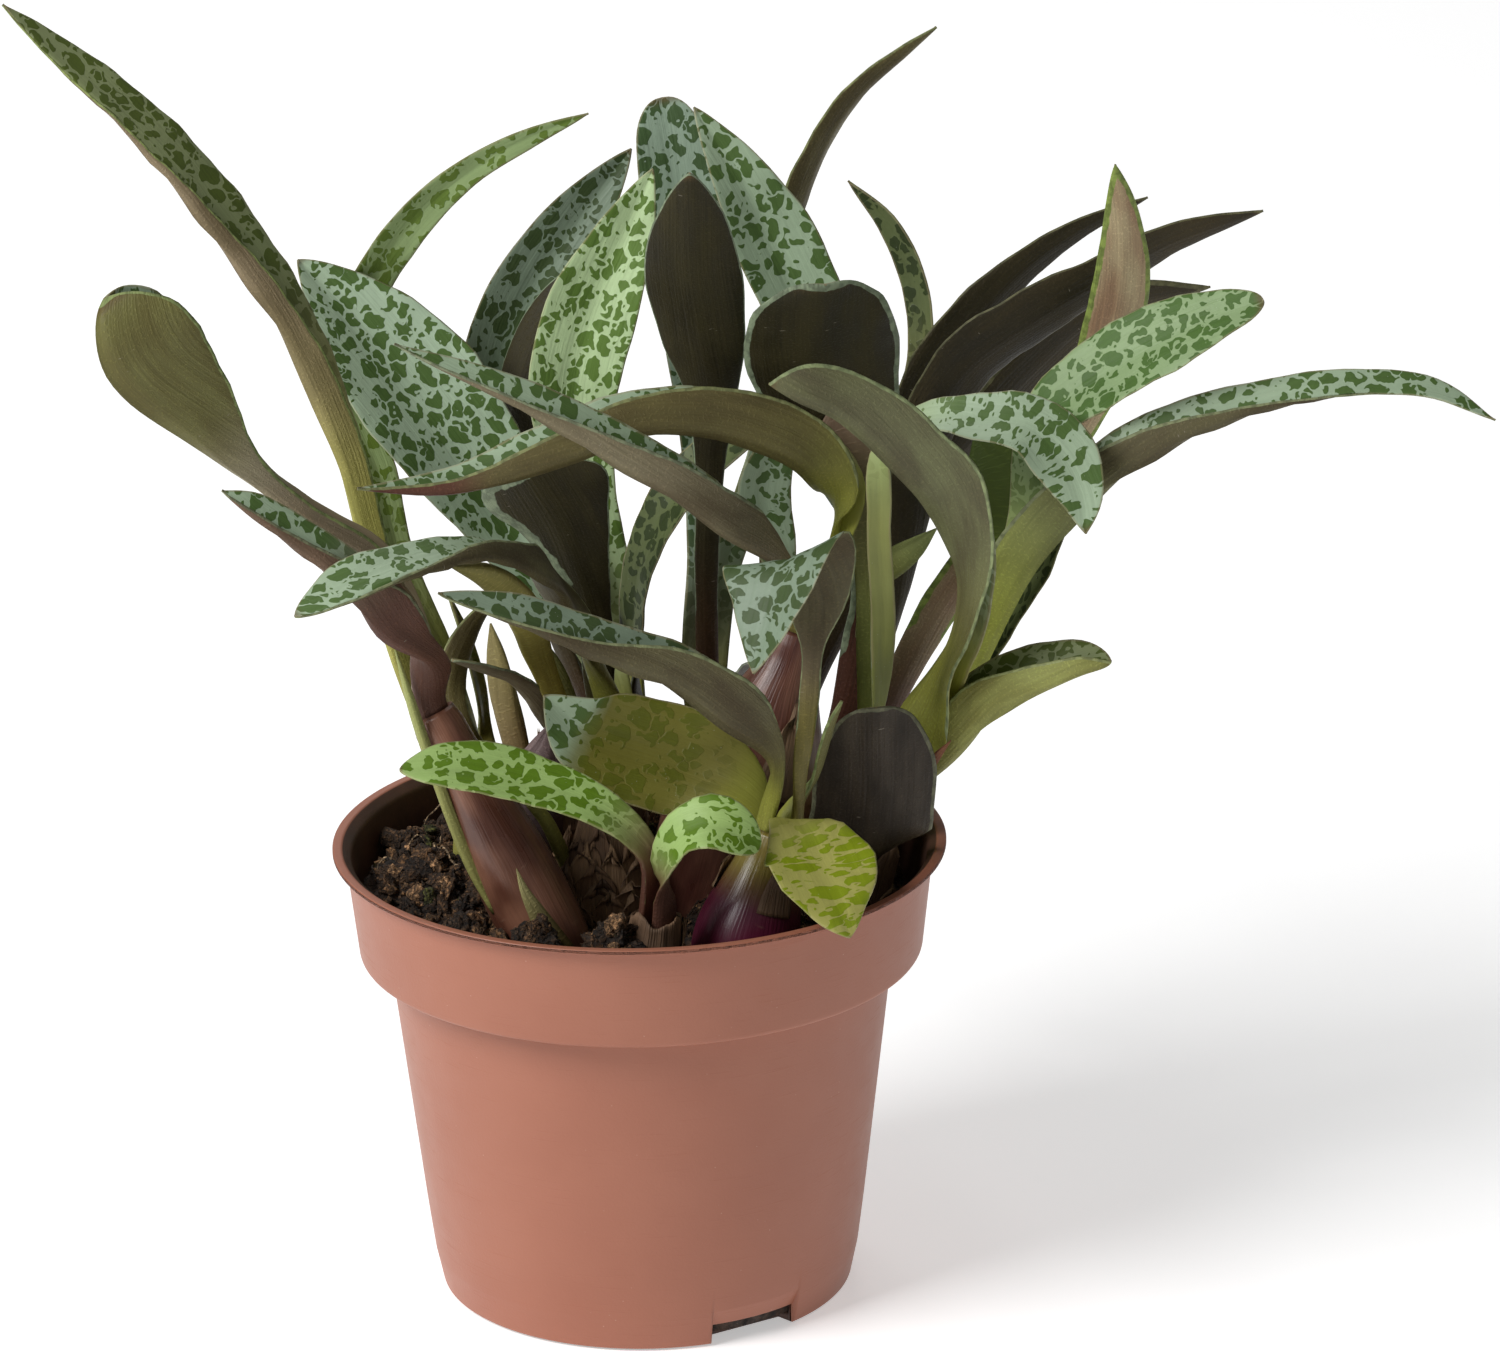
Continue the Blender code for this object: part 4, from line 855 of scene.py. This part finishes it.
            (26, 138, -37, 17), (22.7, 124.8, -41, 0), face=(0.15, 0.97, 0.1), tip=1.2, cup=16, hold=0.42,
            reach=0.55, finer=(0.75, 1.15)),
        "long_front": leaf("steel mauve lime", (26, 108, -31, 9), (20.5, 116, -34, 10), (9, 125.5, -37, 10),
            (-7, 132, -41, 9), (-22, 138.5, -45, 6.5), (-38, 142.5, -48, 0), face=(0.1, -0.62, 0.75),
            tip=1.6, cup=18, reach=0.3, gutter=(1.0, 0.1)),
        "yellow": leaf("straw olive lime", (31, 93, -36, 13), (34, 87, -40, 22), (37, 80.5, -47, 20),
            (39.5, 74.5, -51, 11), (41, 69.5, -52, 0), face=(0.3, -0.65, 0.7), cup=10, finer=(0.5, 1.6),
            frill=3.2),
        "apron": leaf("olive mauve lime", (21, 99, -21, 12), (12, 105, -18, 21), (0, 109, -17, 22),
            (-10, 113, -18, 17), (-18, 121, -19, 0), face=(-0.1, -0.85, 0.5), cup=12, fold=6,
            finer=(0.85, 0.85), frill=1.6, fade=1.0),
        "bud": leaf("lime olive lime", (35, 104, -22.5, 3.5), (36.8, 110, -24.5, 4.5), (38.3, 115, -26, 4),
            (39.8, 119, -27.5, 0), cup=34),
    },
    "tan": {
        "low_left": leaf("fresh olive purple", (1.5, 87, -40, 6), (-2, 92.5, -39, 7.5), (-9, 98, -38, 10),
            (-22, 103.5, -37, 13), (-36, 106.5, -37, 12), (-46.5, 106, -37, 0), face=(0.05, -0.5, 0.87),
            tip=1.7, cup=14),
        "low_right": leaf("fresh olive purple", (5, 87, -43, 7), (9, 92.5, -45, 11), (14.5, 94, -46, 12.5),
            (20, 91.5, -46, 9.5), (23.5, 88.5, -45, 0), face=(-0.1, -0.6, 0.8), tip=2, cup=14),
    },
}
# The tall left leaf stands in a plain hole in the peat, where the others stand in bulbs.
STANDS = {**BULBS, "slender": planted((-33.5, 12, 68), (-33.7, 12, 81), 1)}
# Ground and blotch above; two grounds and the margin beneath; low and high on the stem.
UPPER = {"bright": tones(188, 212, 160, 94, 124, 50), "silver": tones(158, 178, 148, 76, 102, 48),
         "frost": tones(178, 200, 170, 82, 110, 52), "steel": tones(124, 141, 119, 62, 80, 42),
         "open": tones(136, 160, 112, 68, 100, 34), "blue": tones(146, 166, 144, 66, 90, 50),
         "lime": tones(148, 170, 114, 100, 124, 46), "fresh": tones(150, 178, 104, 84, 116, 12),
         "dusky": tones(128, 138, 94, 76, 90, 28), "straw": tones(168, 166, 88, 128, 144, 12),
         # Deep is a darker copy of the silvery green upper side: painted shade, for leaves whose upper side
         # lies in shade.
         "olive": tones(110, 106, 38, 90, 94, 10), "deep": tones(88, 98, 58, 44, 56, 18)}
UNDER = {"umber": tones(38, 33, 10, 54, 48, 18, 118, 130, 104),
         "night": tones(44, 38, 19, 62, 53, 29, 90, 88, 60),
         "olive": tones(112, 110, 60, 96, 90, 46, 122, 134, 82),
         "khaki": tones(110, 101, 60, 87, 77, 45, 124, 128, 84),
         "dove": tones(136, 126, 98, 110, 98, 74, 130, 138, 108),
         # Fair is a lighter copy of the olive underside: painted light for the low leaf, which the lamps
         # leave in shade.
         "fair": tones(156, 160, 88, 128, 126, 66, 140, 146, 96),
         "mauve": tones(98, 92, 62, 76, 66, 44, 120, 126, 90),
         "sage": tones(108, 110, 74, 84, 80, 56, 122, 132, 92),
         "plum": tones(120, 96, 76, 94, 74, 56, 110, 112, 84),
         "rust": tones(152, 122, 92, 186, 170, 132, 122, 138, 66),
         "pale": tones(140, 124, 96, 112, 98, 70, 126, 138, 80),
         "slate": tones(62, 52, 38, 38, 30, 19, 92, 92, 70)}
STEM = {"lime": tones(140, 141, 58, 120, 114, 60), "purple": tones(86, 52, 38, 98, 74, 50),
        "wine": tones(90, 58, 44, 116, 95, 78), "fawn": tones(124, 114, 58, 112, 97, 74),
        "pea": tones(148, 154, 62, 150, 160, 92), "dusk": tones(126, 130, 74, 148, 158, 80),
        "ash": tones(140, 126, 100, 186, 174, 150), "brown": tones(68, 50, 32, 80, 68, 40),
        "lemon": tones(168, 164, 84, 160, 150, 92), "moss": tones(118, 114, 46, 100, 92, 46)}


def sight(across, up, behind):
    """Follow the line of sight through a point of the plane to its real depth."""
    share = behind / EYE[1]
    return np.array([across + (across - EYE[0]) * share, behind, up - (EYE[2] - up) * share])


def smooth_rise(values):
    """0 below 0, 1 above 1, and three squares less two cubes between."""
    values = np.clip(values, 0.0, 1.0)
    return values ** 2 * (3 - 2 * values)


def leaf_path(rows):
    """A smooth cubic curve through rows, read in even steps that close up at the tip."""
    steps = np.linalg.norm(np.diff(rows[:, :3], axis=0), axis=1)
    knots = np.concatenate([[0.0], np.cumsum(steps)])
    slopes = np.gradient(rows, knots, axis=0)
    close_up = knots[-1] - CLOSE_UP * np.linspace(1.0, 0.0, 11) ** 2
    even = np.linspace(0.0, close_up[0], round(close_up[0] / LEAF_STEP))[:-1]
    places = np.concatenate([even, close_up])
    index = np.clip(np.searchsorted(knots, places, side="right") - 1, 0, len(knots) - 2)
    span = (knots[index + 1] - knots[index])[:, None]
    t = (places - knots[index])[:, None] / span
    curve = ((2 * t ** 3 - 3 * t ** 2 + 1) * rows[index]
             + (t ** 3 - 2 * t ** 2 + t) * slopes[index] * span
             + (3 * t ** 2 - 2 * t ** 3) * rows[index + 1]
             + (t ** 3 - t ** 2) * slopes[index + 1] * span)
    share = np.clip((places - knots[1]) / (knots[-1] - knots[1]), 0.0, 1.0)
    return curve, places, share


def neck_slots(neck, leaves):
    """Share the neck's ring among its leaves, each near the side it leaves by."""
    wished = {}
    for name, blade in leaves.items():
        away = sight(*blade["rows"][0][:3]) - neck
        wished[name] = math.atan2(away[1], away[0])
    order = sorted(wished, key=wished.get)
    share = 2 * math.pi / len(order)
    starts = [wished[name] - number * share for number, name in enumerate(order)]
    start = math.atan2(sum(map(math.sin, starts)), sum(map(math.cos, starts)))
    return {name: start + number * share for number, name in enumerate(order)}


def facing(along, start, face, share, blend, hold):
    """Carry the way the base looks along the curve, and turn it towards face.

    Each step keeps the last direction less its part along the curve. The turn is the
    angle from that to face, made continuous and scaled by blend; past hold it stays.
    """
    carried = [unit(start - along[0] * start.dot(along[0]))]
    for step in along[1:]:
        last = carried[-1]
        carried.append(unit(last - step * last.dot(step)))
    carried = np.array(carried)
    wished = unit(face - along * (along @ face)[:, None])
    turn = np.unwrap(np.arctan2((np.cross(carried, wished) * along).sum(axis=1),
                                (carried * wished).sum(axis=1)))
    turn -= 2 * math.pi * round(turn[np.searchsorted(share, OPEN_BY)] / (2 * math.pi))
    turn[share > hold] = turn[share <= hold][-1]
    turn = (turn * blend)[:, None]
    return carried * np.cos(turn) + np.cross(along, carried) * np.sin(turn)


def leaf_spine(stand, blade, count, azimuth):
    """Middle line, width and directions of a leaf, from its sector of the neck to its tip."""
    neck = stand["neck"]
    axis = unit(neck - stand["foot"])
    outward = np.array([math.cos(azimuth), math.sin(azimuth), 0.0])
    outward = unit(outward - axis * outward.dot(axis))
    base_cup = math.radians(min(WIDEST_SECTOR, 180.0 / count - SECTOR_GAP))
    base_width = 2 * base_cup * ring_radius(count)
    start = neck + outward * ring_radius(count) - axis * (SOCKET_DEPTH - LEAF_FOOT_RISE)
    risen = start + axis * (SOCKET_DEPTH + LEAF_NECK_RISE)
    rows = [(*start, base_width), (*risen, base_width)]
    rows += [(*sight(*row[:3]), row[3]) for row in blade["rows"]]
    rows = np.array(rows)
    rows[-1, 3] = 0.0
    rows[:, 3] = rows[:, 3] ** blade["tip"]
    path, places, share = leaf_path(rows)
    middle = path[:, :3]
    width = np.maximum(path[:, 3], 0.0) ** (1 / blade["tip"])
    along = unit(np.gradient(middle, places, axis=0))
    lean = middle[-1] - middle[0]
    lean[2] = 0.0
    lean = lean / np.linalg.norm(lean)
    face = unit(blade["face"] or (-0.7 * lean[0], -0.7 * lean[1], 1.0))
    blend = smooth_rise(share / OPEN_BY)
    normal = facing(along, -outward, face, share, blend, blade["hold"])
    cup = base_cup + (math.radians(blade["cup"]) - base_cup) * blend
    fold = math.radians(blade["fold"]) * blend
    return middle, width, along, normal, cup, fold, places, share, blend


def arc_section(across, width, cup, fold):
    """Out and up of an arc of the width that spans twice the cup, folded on its midrib."""
    radius = width / (2 * cup)
    swing = across * cup
    tilt = fold * np.tanh(across / 0.1)
    flat, rise = radius * np.sin(swing), radius * (1 - np.cos(swing))
    out = flat * np.cos(tilt) - rise * np.sin(tilt)
    return out, flat * np.sin(tilt) + rise * np.cos(tilt), across * width / 2


def gutter_section(across, width, near, sense):
    """Out, up and distance from the midrib of a channel with its midrib at one margin.

    The far flank is as wide as the blade. The near flank is a share of that, and is
    turned back over it; a root of squares rounds the bend between them.
    """
    reach = (across * sense + 1) / 2 * width * (1 + near) - near * width
    bend = np.sqrt(reach ** 2 + GUTTER_BEND ** 2) - GUTTER_BEND * np.exp(-np.abs(reach) / 3.0)
    far, close = (bend + reach) / 2, (bend - reach) / 2
    angle = math.radians(GUTTER_ANGLE)
    out = sense * (far + close * math.cos(angle) - width / 2)
    return out, close * math.sin(angle) + 0.1 * far ** 2 / width, reach * sense


def leaf_shell(spine, dice, blade):
    """The closed skin of a blade, its map in millimetres, and its place across.

    Sections are arcs that turn into gutters where the leaf is channelled. Waves lift
    the margins by the cube of the place across, the midrib is a narrow bell pressed in
    from above, and the thickness falls to nothing at the rim.
    """
    middle, width, along, normal, cup, fold, places, share, blend = spine
    across = np.sin(np.linspace(math.pi / 2, -math.pi / 2, ACROSS + 1))[None, :]
    s, blend = places[:, None], blend[:, None]
    side = np.cross(normal, along)
    phase = dice.uniform(0, 2 * math.pi, 8)
    ragged = RAGGED * np.sin(s / 3.7 + phase[0]) * np.sin(s / 9.1 + phase[1])
    width = np.maximum(width[:, None] * (1 + ragged * blend), 0.35)
    out, up, reach = arc_section(across, width, cup[:, None], fold[:, None])
    if blade["gutter"]:
        stem, tip = blade["gutter"]
        near = stem + (tip - stem) * smooth_rise((share - 0.3) / 0.6)[:, None]
        sense = np.sign((side[share > 0.4] @ np.array(blade["lie"], float)).mean())
        folded = gutter_section(across, width, near, sense)
        turned = smooth_rise((s - s[0] - 12.0) / 30.0)
        out, up, reach = (old + (new - old) * turned
                          for old, new in zip((out, up, reach), folded))
    open_share = blend * np.minimum(width / 12.0, 1.4)
    left = np.sin(s / 2.9 + phase[2]) + 0.8 * np.sin(s / 1.35 + phase[3])
    right = np.sin(s / 3.3 + phase[4]) + 0.8 * np.sin(s / 1.2 + phase[5])
    frill = np.where(across > 0, right, left) * np.abs(across) ** 3
    sway = np.sin(s / 6.5 + phase[6]) * np.cos(across * 1.5)
    rib = np.exp(-(reach / (0.055 * width + 0.2)) ** 2)
    frill = FRILL_RISE * blade["frill"] * frill
    up = up + open_share * (frill + SWAY_RISE * sway - RIB_DEPTH * rib)
    slope_out, slope_up = np.gradient(out, axis=1), np.gradient(up, axis=1)
    length = np.hypot(slope_out, slope_up) + 1e-9
    lean_out, lean_up = slope_up / length, -slope_out / length
    thick = np.interp(share, (0.0, 0.45, 0.9, 1.0),
                      (BASE_THICK, BLADE_THICK, BLADE_THICK, TIP_THICK))[:, None]
    half = thick / 2 * np.sqrt(1 - across ** 6)
    layers = []
    for face in (1, -1):
        depth = half * (1 + 1.6 * (1 - blend) * (1 - across ** 2)) if face == 1 else -half
        shift_out, shift_up = out + depth * lean_out, up + depth * lean_up
        layers.append(middle[:, None] + side[:, None] * shift_out[..., None]
                      + normal[:, None] * shift_up[..., None])
    points = np.concatenate([layers[0], layers[1][:, -2:0:-1]], axis=1)
    grain = np.stack([reach, np.broadcast_to(s, reach.shape)], axis=-1)
    grain = np.concatenate([grain, grain[:, -2:0:-1]], axis=1)
    across = np.concatenate([across, across[:, -2:0:-1]], axis=1)
    face = np.concatenate([np.ones(ACROSS + 1), -np.ones(ACROSS - 1)])[None, :]
    return points, grain, across, face


def leaf_colours(blade, across, face, spine):
    """Ground, mark and margin colours at each point, the hem's reach, and the blotching.

    The stem's colours turn into the blade's over a share of the length, a pointed tip is
    withered brown, and rolled passes 0 where the hem of the margin's colour starts.
    """
    width, places, share = spine[1], spine[6], spine[7]
    upper, under, stem = (inks[look] for inks, look in zip((UPPER, UNDER, STEM), blade["look"]))
    reach = blade["reach"]
    start = max(0.06, reach - 0.3)
    rise = smooth_rise((share - start) / (reach - start))[:, None, None]
    edge = np.minimum(width[:, None] / 2 * (1 - np.abs(across)), (places[-1] - places)[:, None])
    left, right, hemmed = blade["hem"]
    hem = left + (right - left) * smooth_rise(across + 0.5)
    rolled = (1.0 - edge / hem)[..., None] - (share < hemmed)[:, None, None]
    tip = smooth_rise((share - 0.985) / 0.012)[:, None, None] * 0.7
    faded = smooth_rise((share - 0.74) / 0.1)[:, None, None] * blade["fade"]
    ruddy = smooth_rise((share - 0.8) / 0.08)[:, None, None] * blade["ruddy"]
    above = (face > 0)[..., None]
    layers = []
    for top, back, silver, strength in zip(upper, under, UPPER["silver"], (1.15, 0.8)):
        low, high = stem * strength
        stalk = low + (high - low) * np.minimum(rise * 2, 1.0)
        top = stalk + (top + (silver - top) * faded - stalk) * rise
        back = stalk + (back - stalk) * rise
        back = back + (tones(100, 56, 48)[0] - back) * ruddy
        colour = np.where(above, top, back)
        layers.append(colour + (tones(92, 72, 40)[0] - colour) * tip)
    margin = np.broadcast_to(under[2], layers[0].shape)
    return {"ground": layers[0], "mark": layers[1], "margin": margin, "rolled": rolled,
            "spotting": np.broadcast_to(rise, rolled.shape)}


def upper_skin():
    """Spotted upper side: rounded green blotches parted by a net of silvery waxy ground.

    A blotch is the part of a cell where the distance to its edge, less half the
    distance to its middle, stays above a limit that slow noise moves.
    """
    skin, root = new_skin("leaf_upper")
    grain = grain_mm(root)
    ground, mark = field(root, "ground", "Color"), field(root, "mark", "Color")
    spotting = field(root, "spotting")
    place = grain.bent(0.5, 1.5).bent(0.15, 2.4).scaled(0.29, 0.215, 1.0)
    vary = grain.noise(0.2) - 0.5
    inner = place.cells(1.0, "DISTANCE_TO_EDGE") - 0.5 * place.cells(1.0)
    blotch = (inner + 0.135 - 0.24 * vary).step(-0.02, 0.03)
    dots = grain.bent(1.2, 0.6).scaled(0.75, 0.62, 1.0)
    speck = dots.cells(1.0).step(0.27, 0.19) * grain.noise(0.33).step(0.60, 0.66)
    marks = blotch.math("MAXIMUM", blotch, speck * 0.7) * spotting
    streaks = grain.scaled(1.5, 0.05, 1.0).noise(1.0, 3.0)
    clouds = grain.noise(0.12, 3.0)
    ground = ground.shaded(0.78 + 0.20 * streaks + 0.24 * clouds)
    mark = mark.shaded(0.64 + 0.36 * streaks + 0.36 * clouds)
    colour = marks.blend(ground, mark)
    dust = grain.cells(0.6).step(0.06, 0.03) * 0.35
    colour = dust.blend(colour, tone(200, 206, 190))
    dry = (field(root, "rolled") + 1.1 * (grain.noise(0.35) - 0.5)).step(0.05, 0.25)
    colour = (dry * 0.45).blend(colour, tone(150, 138, 104))
    roughness = 0.42 + 0.14 * clouds + 0.06 * marks
    height = 0.6 * streaks + 0.25 * marks + 0.3 * grain.noise(0.9)
    return dress(skin, colour, roughness, height, 0.00022, Specular_IOR_Level=0.36)


def under_skin():
    """Matt under side: two dull tones, fine nerves along it, pale stipple and scratches."""
    skin, root = new_skin("leaf_under")
    grain = grain_mm(root)
    ground, mark = field(root, "ground", "Color"), field(root, "mark", "Color")
    clouds = grain.scaled(0.16, 0.05, 1.0).noise(1.0, 3.0).step(0.3, 0.7)
    nerves = grain.scaled(1.9, 0.035, 1.0).noise(1.0, 3.0)
    stipple = grain.noise(1.9, 2.0).step(0.52, 0.66)
    scratch = grain.bent(0.05, 6.0).scaled(0.3, 1.9, 1.0).cells(0.45).step(0.10, 0.05)
    scratch = scratch * grain.noise(0.4).step(0.56, 0.62)
    colour = clouds.blend(ground, mark).shaded(0.62 + 0.50 * nerves + 0.42 * stipple * 0.6)
    colour = (scratch * 0.4).blend(colour, tone(176, 166, 148))
    rolled = (field(root, "rolled") + 0.7 * (grain.noise(0.35) - 0.5)).step(-0.05, 0.08)
    hem = field(root, "margin", "Color").shaded(0.75 + 0.5 * grain.noise(0.5, 3.0).step(0.4, 0.6))
    colour = rolled.blend(colour, hem)
    roughness = 0.50 + 0.16 * clouds
    height = nerves + 0.25 * stipple
    return dress(skin, colour, roughness, height, 0.00022, Specular_IOR_Level=0.3)


def add_leaf(name, node, blade, spine, skins, seed):
    """One blade: the upper skin on its first columns and its poles, the under skin elsewhere."""
    points, grain, across, face = leaf_shell(spine, np.random.default_rng(seed), blade)
    values = {"grain": grain * blade["finer"] + (0.0, 310.0 * seed),
              **leaf_colours(blade, across, face, spine)}
    rows, columns = points.shape[:2]
    picks = np.zeros(rows * columns + columns, int)
    picks[:(rows - 1) * columns] = np.tile(np.arange(columns) >= ACROSS, rows - 1)
    values = {label: value[None] for label, value in values.items()}
    piece = make_closed(f"blade_{name}", points[None], skins, values, picks)
    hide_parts(node)


leaf_skins = [upper_skin(), under_skin()]
seed = FIRST_LEAF_SEED
for shoot, leaves in LEAVES.items():
    stand = STANDS[shoot]
    for name, azimuth in neck_slots(stand["neck"], leaves).items():
        spine = leaf_spine(stand, leaves[name], len(leaves), azimuth)
        add_leaf(name, f"leaf_{shoot}_{name}", leaves[name], spine, leaf_skins, seed)
        seed += 1

# The small growths: a green sheath up the left bulb, sprouts, a folded young leaf and
# torn dry scales at the necks. Each is a tapered tube, flattened in depth.
GROWTH_COLUMNS = 14
GROWTHS = {
    "sheath": (0.8, (150, 148, 84, 176, 182, 112), (-28.5, 76, -27, 0.9), (-32.6, 84.5, -26, 1.2),
        (-36.6, 95.4, -24.5, 1.2), (-40.2, 106.9, -23, 1.1), (-44, 120.4, -22.5, 0.9),
        (-46.6, 130.8, -22.5, 0.2)),
    "sprout": (1.0, (112, 104, 50, 160, 162, 78), (-9, 75, -6, 1.9), (-10.9, 78.3, -6, 1.7),
        (-15.6, 88.8, -8, 1.5), (-18.4, 95.1, -9, 1.4), (-22, 100, -10, 1.1), (-25, 104, -11, 0.2)),
    "bract": (0.7, (92, 78, 40, 186, 178, 120), (-15, 66, -35, 2.8), (-17.5, 70, -35.5, 2.6),
        (-20.6, 76, -36, 1.7), (-22.8, 80.5, -36.5, 0.9), (-24.2, 85, -37, 0.1)),
    "young_leaf": (0.6, (120, 118, 50, 150, 160, 96), (43.5, 132, 24, 1.0), (45, 140, 21, 1.6),
        (47.4, 145, 18, 2.6), (51, 148, 16, 2.8), (54.6, 150.6, 14, 2.0), (58.4, 154, 12, 0.2)),
    "strap_sheath": (0.45, (172, 156, 62, 140, 133, 76), (-5.5, 99, 29, 1.6), (-9.5, 106, 23, 1.8),
        (-13, 112, 17, 1.9), (-15.5, 119.5, 12, 2.1), (-18, 126.4, 7, 2.4), (-19.8, 131.7, 2, 3.0),
        (-21.2, 137, -4, 3.5), (-24, 142, -10, 3.5), (-29, 146.2, -18, 2.4), (-35, 147.6, -24, 0.3)),
    "cream_sheath": (0.5, (128, 98, 66, 178, 164, 108), (-19.5, 85, 20, 1.8), (-20.5, 94, 21, 2.0),
        (-22, 103, 22, 2.2), (-23.8, 112, 23, 2.6), (-25.6, 121, 24, 2.7), (-27, 130, 24, 1.8),
        (-28, 136, 24, 0.2)),
    "stem_sheath": (0.4, (104, 100, 46, 126, 124, 74), (-6, 99, 30, 1.4), (-10, 106, 24, 1.6),
        (-11.5, 114, 22, 1.8), (-13.5, 120, 21, 2.0), (-15.5, 125, 20, 2.1), (-17.5, 129.5, 20, 1.6),
        (-19, 134, 20, 0.2)),
    "inner_leaf": (0.12, (102, 118, 28, 66, 82, 24), (49, 104, 18, 1.5), (57, 120, 21, 1.8),
        (67.5, 138, 25, 2.6), (68.8, 148, 25, 6.5), (70.5, 158, 25, 8.8), (69.5, 167, 25, 6.8),
        (66, 174, 25, 0.2)),
    "pale_blade": (0.12, (150, 158, 82, 122, 100, 80), (44.5, 106, 14, 1.5), (44.3, 128, 14, 1.6),
        (44, 148, 15, 1.8), (43.4, 156, 15, 2.6), (42, 164, 15, 5.6), (40.6, 171, 15, 7.6),
        (39.5, 177, 15, 3.0), (39, 180, 15, 0.2)),
    "red_scale": (0.4, (104, 62, 42, 144, 92, 62), (53, 99, -13, 1.5), (55.2, 103, -14, 1.5),
        (58, 107, -15, 0.9), (61, 110.5, -16, 0.1)),
    "torn_tunic": (0.5, (140, 84, 46, 196, 128, 78), (17, 112, 2, 2.4), (18.6, 116, 1, 2.2),
        (20.4, 120, 0, 1.2), (21.6, 123, 0, 0.1)),
    "grey_tunic": (0.8, (84, 68, 66, 140, 118, 116), (-21, 84, 6, 4.0), (-20.5, 92, 5, 5.0),
        (-20, 100, 5, 5.2), (-19, 108, 6, 3.6), (-17, 115, 7, 0.3)),
}


def add_growth(name, skin, seed, flat, inks, *rows):
    """A tube along rows of (across, up, behind, half-width), pleated three times round.

    Flat is its depth's share of its width, and inks are the colours of its foot and tip.
    """
    lined = np.array([[*sight(*row[:3]), row[3]] for row in rows])
    curve, places, share = leaf_path(lined)
    points = tubes(curve[None, :, :3], np.maximum(curve[None, :, 3], 0.08), GROWTH_COLUMNS)
    middle = curve[None, :, None, :3]
    folds = 1.0 + 0.12 * np.sin(3 * turns(GROWTH_COLUMNS) + seed)
    points = middle + (points - middle) * folds[:, None] * (1.0, flat, 1.0)
    round_it = np.broadcast_to(np.linspace(0.0, 6.0, GROWTH_COLUMNS), points.shape[:3])
    up_it = np.broadcast_to(places[None, :, None] + 40.0 * seed, points.shape[:3])
    rise = smooth_rise(share)[None, :, None, None]
    low, high = tones(*inks)
    ground = np.broadcast_to(low + (high - low) * rise, points.shape)
    make_closed(f"growth_{name}", points, [skin],
                {"grain": np.stack([round_it, up_it], axis=-1), "ground": ground,
                 "mark": ground * 0.75, "margin": ground,
                 "rolled": -np.ones(points.shape[:3] + (1,))})


for seed, (name, growth) in enumerate(GROWTHS.items()):
    add_growth(name, leaf_skins[1], seed, *growth)

# The studio: a pale matt floor that runs out to white, a large soft lamp at the
# left, a weaker one at the right, and the camera at the photograph's own angle.
CAMERA_AT = (0.02207, -1.5, 0.6593)
CAMERA_PITCH = 19.623
CAMERA_ROLL = -0.821
CAMERA_LENS = 196.87
FLOOR_HALF = 6.0
FLOOR_CELLS = 8


def add_floor():
    """A level square sheet of cells with a pale, faintly clouded finish."""
    ends = np.linspace(-FLOOR_HALF, FLOOR_HALF, FLOOR_CELLS + 1)
    x, y = np.meshgrid(ends, ends)
    points = np.stack([x, y, np.full_like(x, -0.0004)], axis=-1).reshape(-1, 3)
    row, column = np.divmod(np.arange(FLOOR_CELLS ** 2), FLOOR_CELLS)
    corner, above = row * len(ends) + column, (row + 1) * len(ends) + column
    faces = np.stack([corner, corner + 1, above + 1, above], axis=-1).tolist()
    mesh = bpy.data.meshes.new("floor")
    mesh.from_pydata(points.tolist(), [], faces)
    skin, root = new_skin("floor_paper")
    place = root.node("ShaderNodeTexCoord", output="Object")
    colour = place.noise(3.0).blend(tone(250, 250, 250), tone(253, 253, 253))
    dress(skin, colour, 0.8 + 0.1 * place.noise(8.0), place.noise(60.0), 0.00002,
          Emission_Color=(1.0, 1.0, 1.0, 1.0), Emission_Strength=0.42)
    mesh.materials.append(skin)
    floor = bpy.data.objects.new("floor", mesh)
    bpy.context.scene.collection.objects.link(floor)


def add_lamp(name, place, size, power):
    """A square soft lamp that looks at the middle of the plant."""
    lamp = bpy.data.lights.new(name, "AREA")
    lamp.size = size
    lamp.energy = power
    item = bpy.data.objects.new(name, lamp)
    item.location = place
    item.rotation_mode = "QUATERNION"
    aim = Vector((0.0, 0.0, 0.12)) - Vector(place)
    item.rotation_quaternion = aim.to_track_quat("-Z", "Y")
    bpy.context.scene.collection.objects.link(item)


def add_camera():
    """A camera that looks along +Y, pitched down and rolled by the fitted angles."""
    pitch, roll = math.radians(CAMERA_PITCH), math.radians(CAMERA_ROLL)
    ahead = Vector((0.0, math.cos(pitch), -math.sin(pitch)))
    level = Vector((1.0, 0.0, 0.0))
    above = level.cross(ahead)
    right = level * math.cos(roll) + above * math.sin(roll)
    up = above * math.cos(roll) - level * math.sin(roll)
    lens = bpy.data.cameras.new("camera")
    lens.sensor_width = 36.0
    lens.lens = CAMERA_LENS
    camera = bpy.data.objects.new("camera", lens)
    turn = Matrix((right, up, -ahead)).transposed().to_4x4()
    camera.matrix_world = Matrix.Translation(CAMERA_AT) @ turn
    bpy.context.scene.collection.objects.link(camera)
    bpy.context.scene.camera = camera


add_floor()
add_lamp("key_lamp", (-1.35, -0.85, 1.45), 1.0, 38.0)
add_lamp("fill_lamp", (1.4, -1.2, 0.9), 1.2, 0.25)
add_lamp("back_lamp", (-0.2, 1.3, 1.4), 1.0, 6.0)
world = bpy.data.worlds.new("studio")
world.use_nodes = True
sky = world.node_tree.nodes["Background"]
sky.inputs["Color"].default_value = (1.0, 1.0, 1.0, 1.0)
sky.inputs["Strength"].default_value = 0.17
bpy.context.scene.world = world
bpy.context.scene.view_settings.view_transform = "Standard"
add_camera()
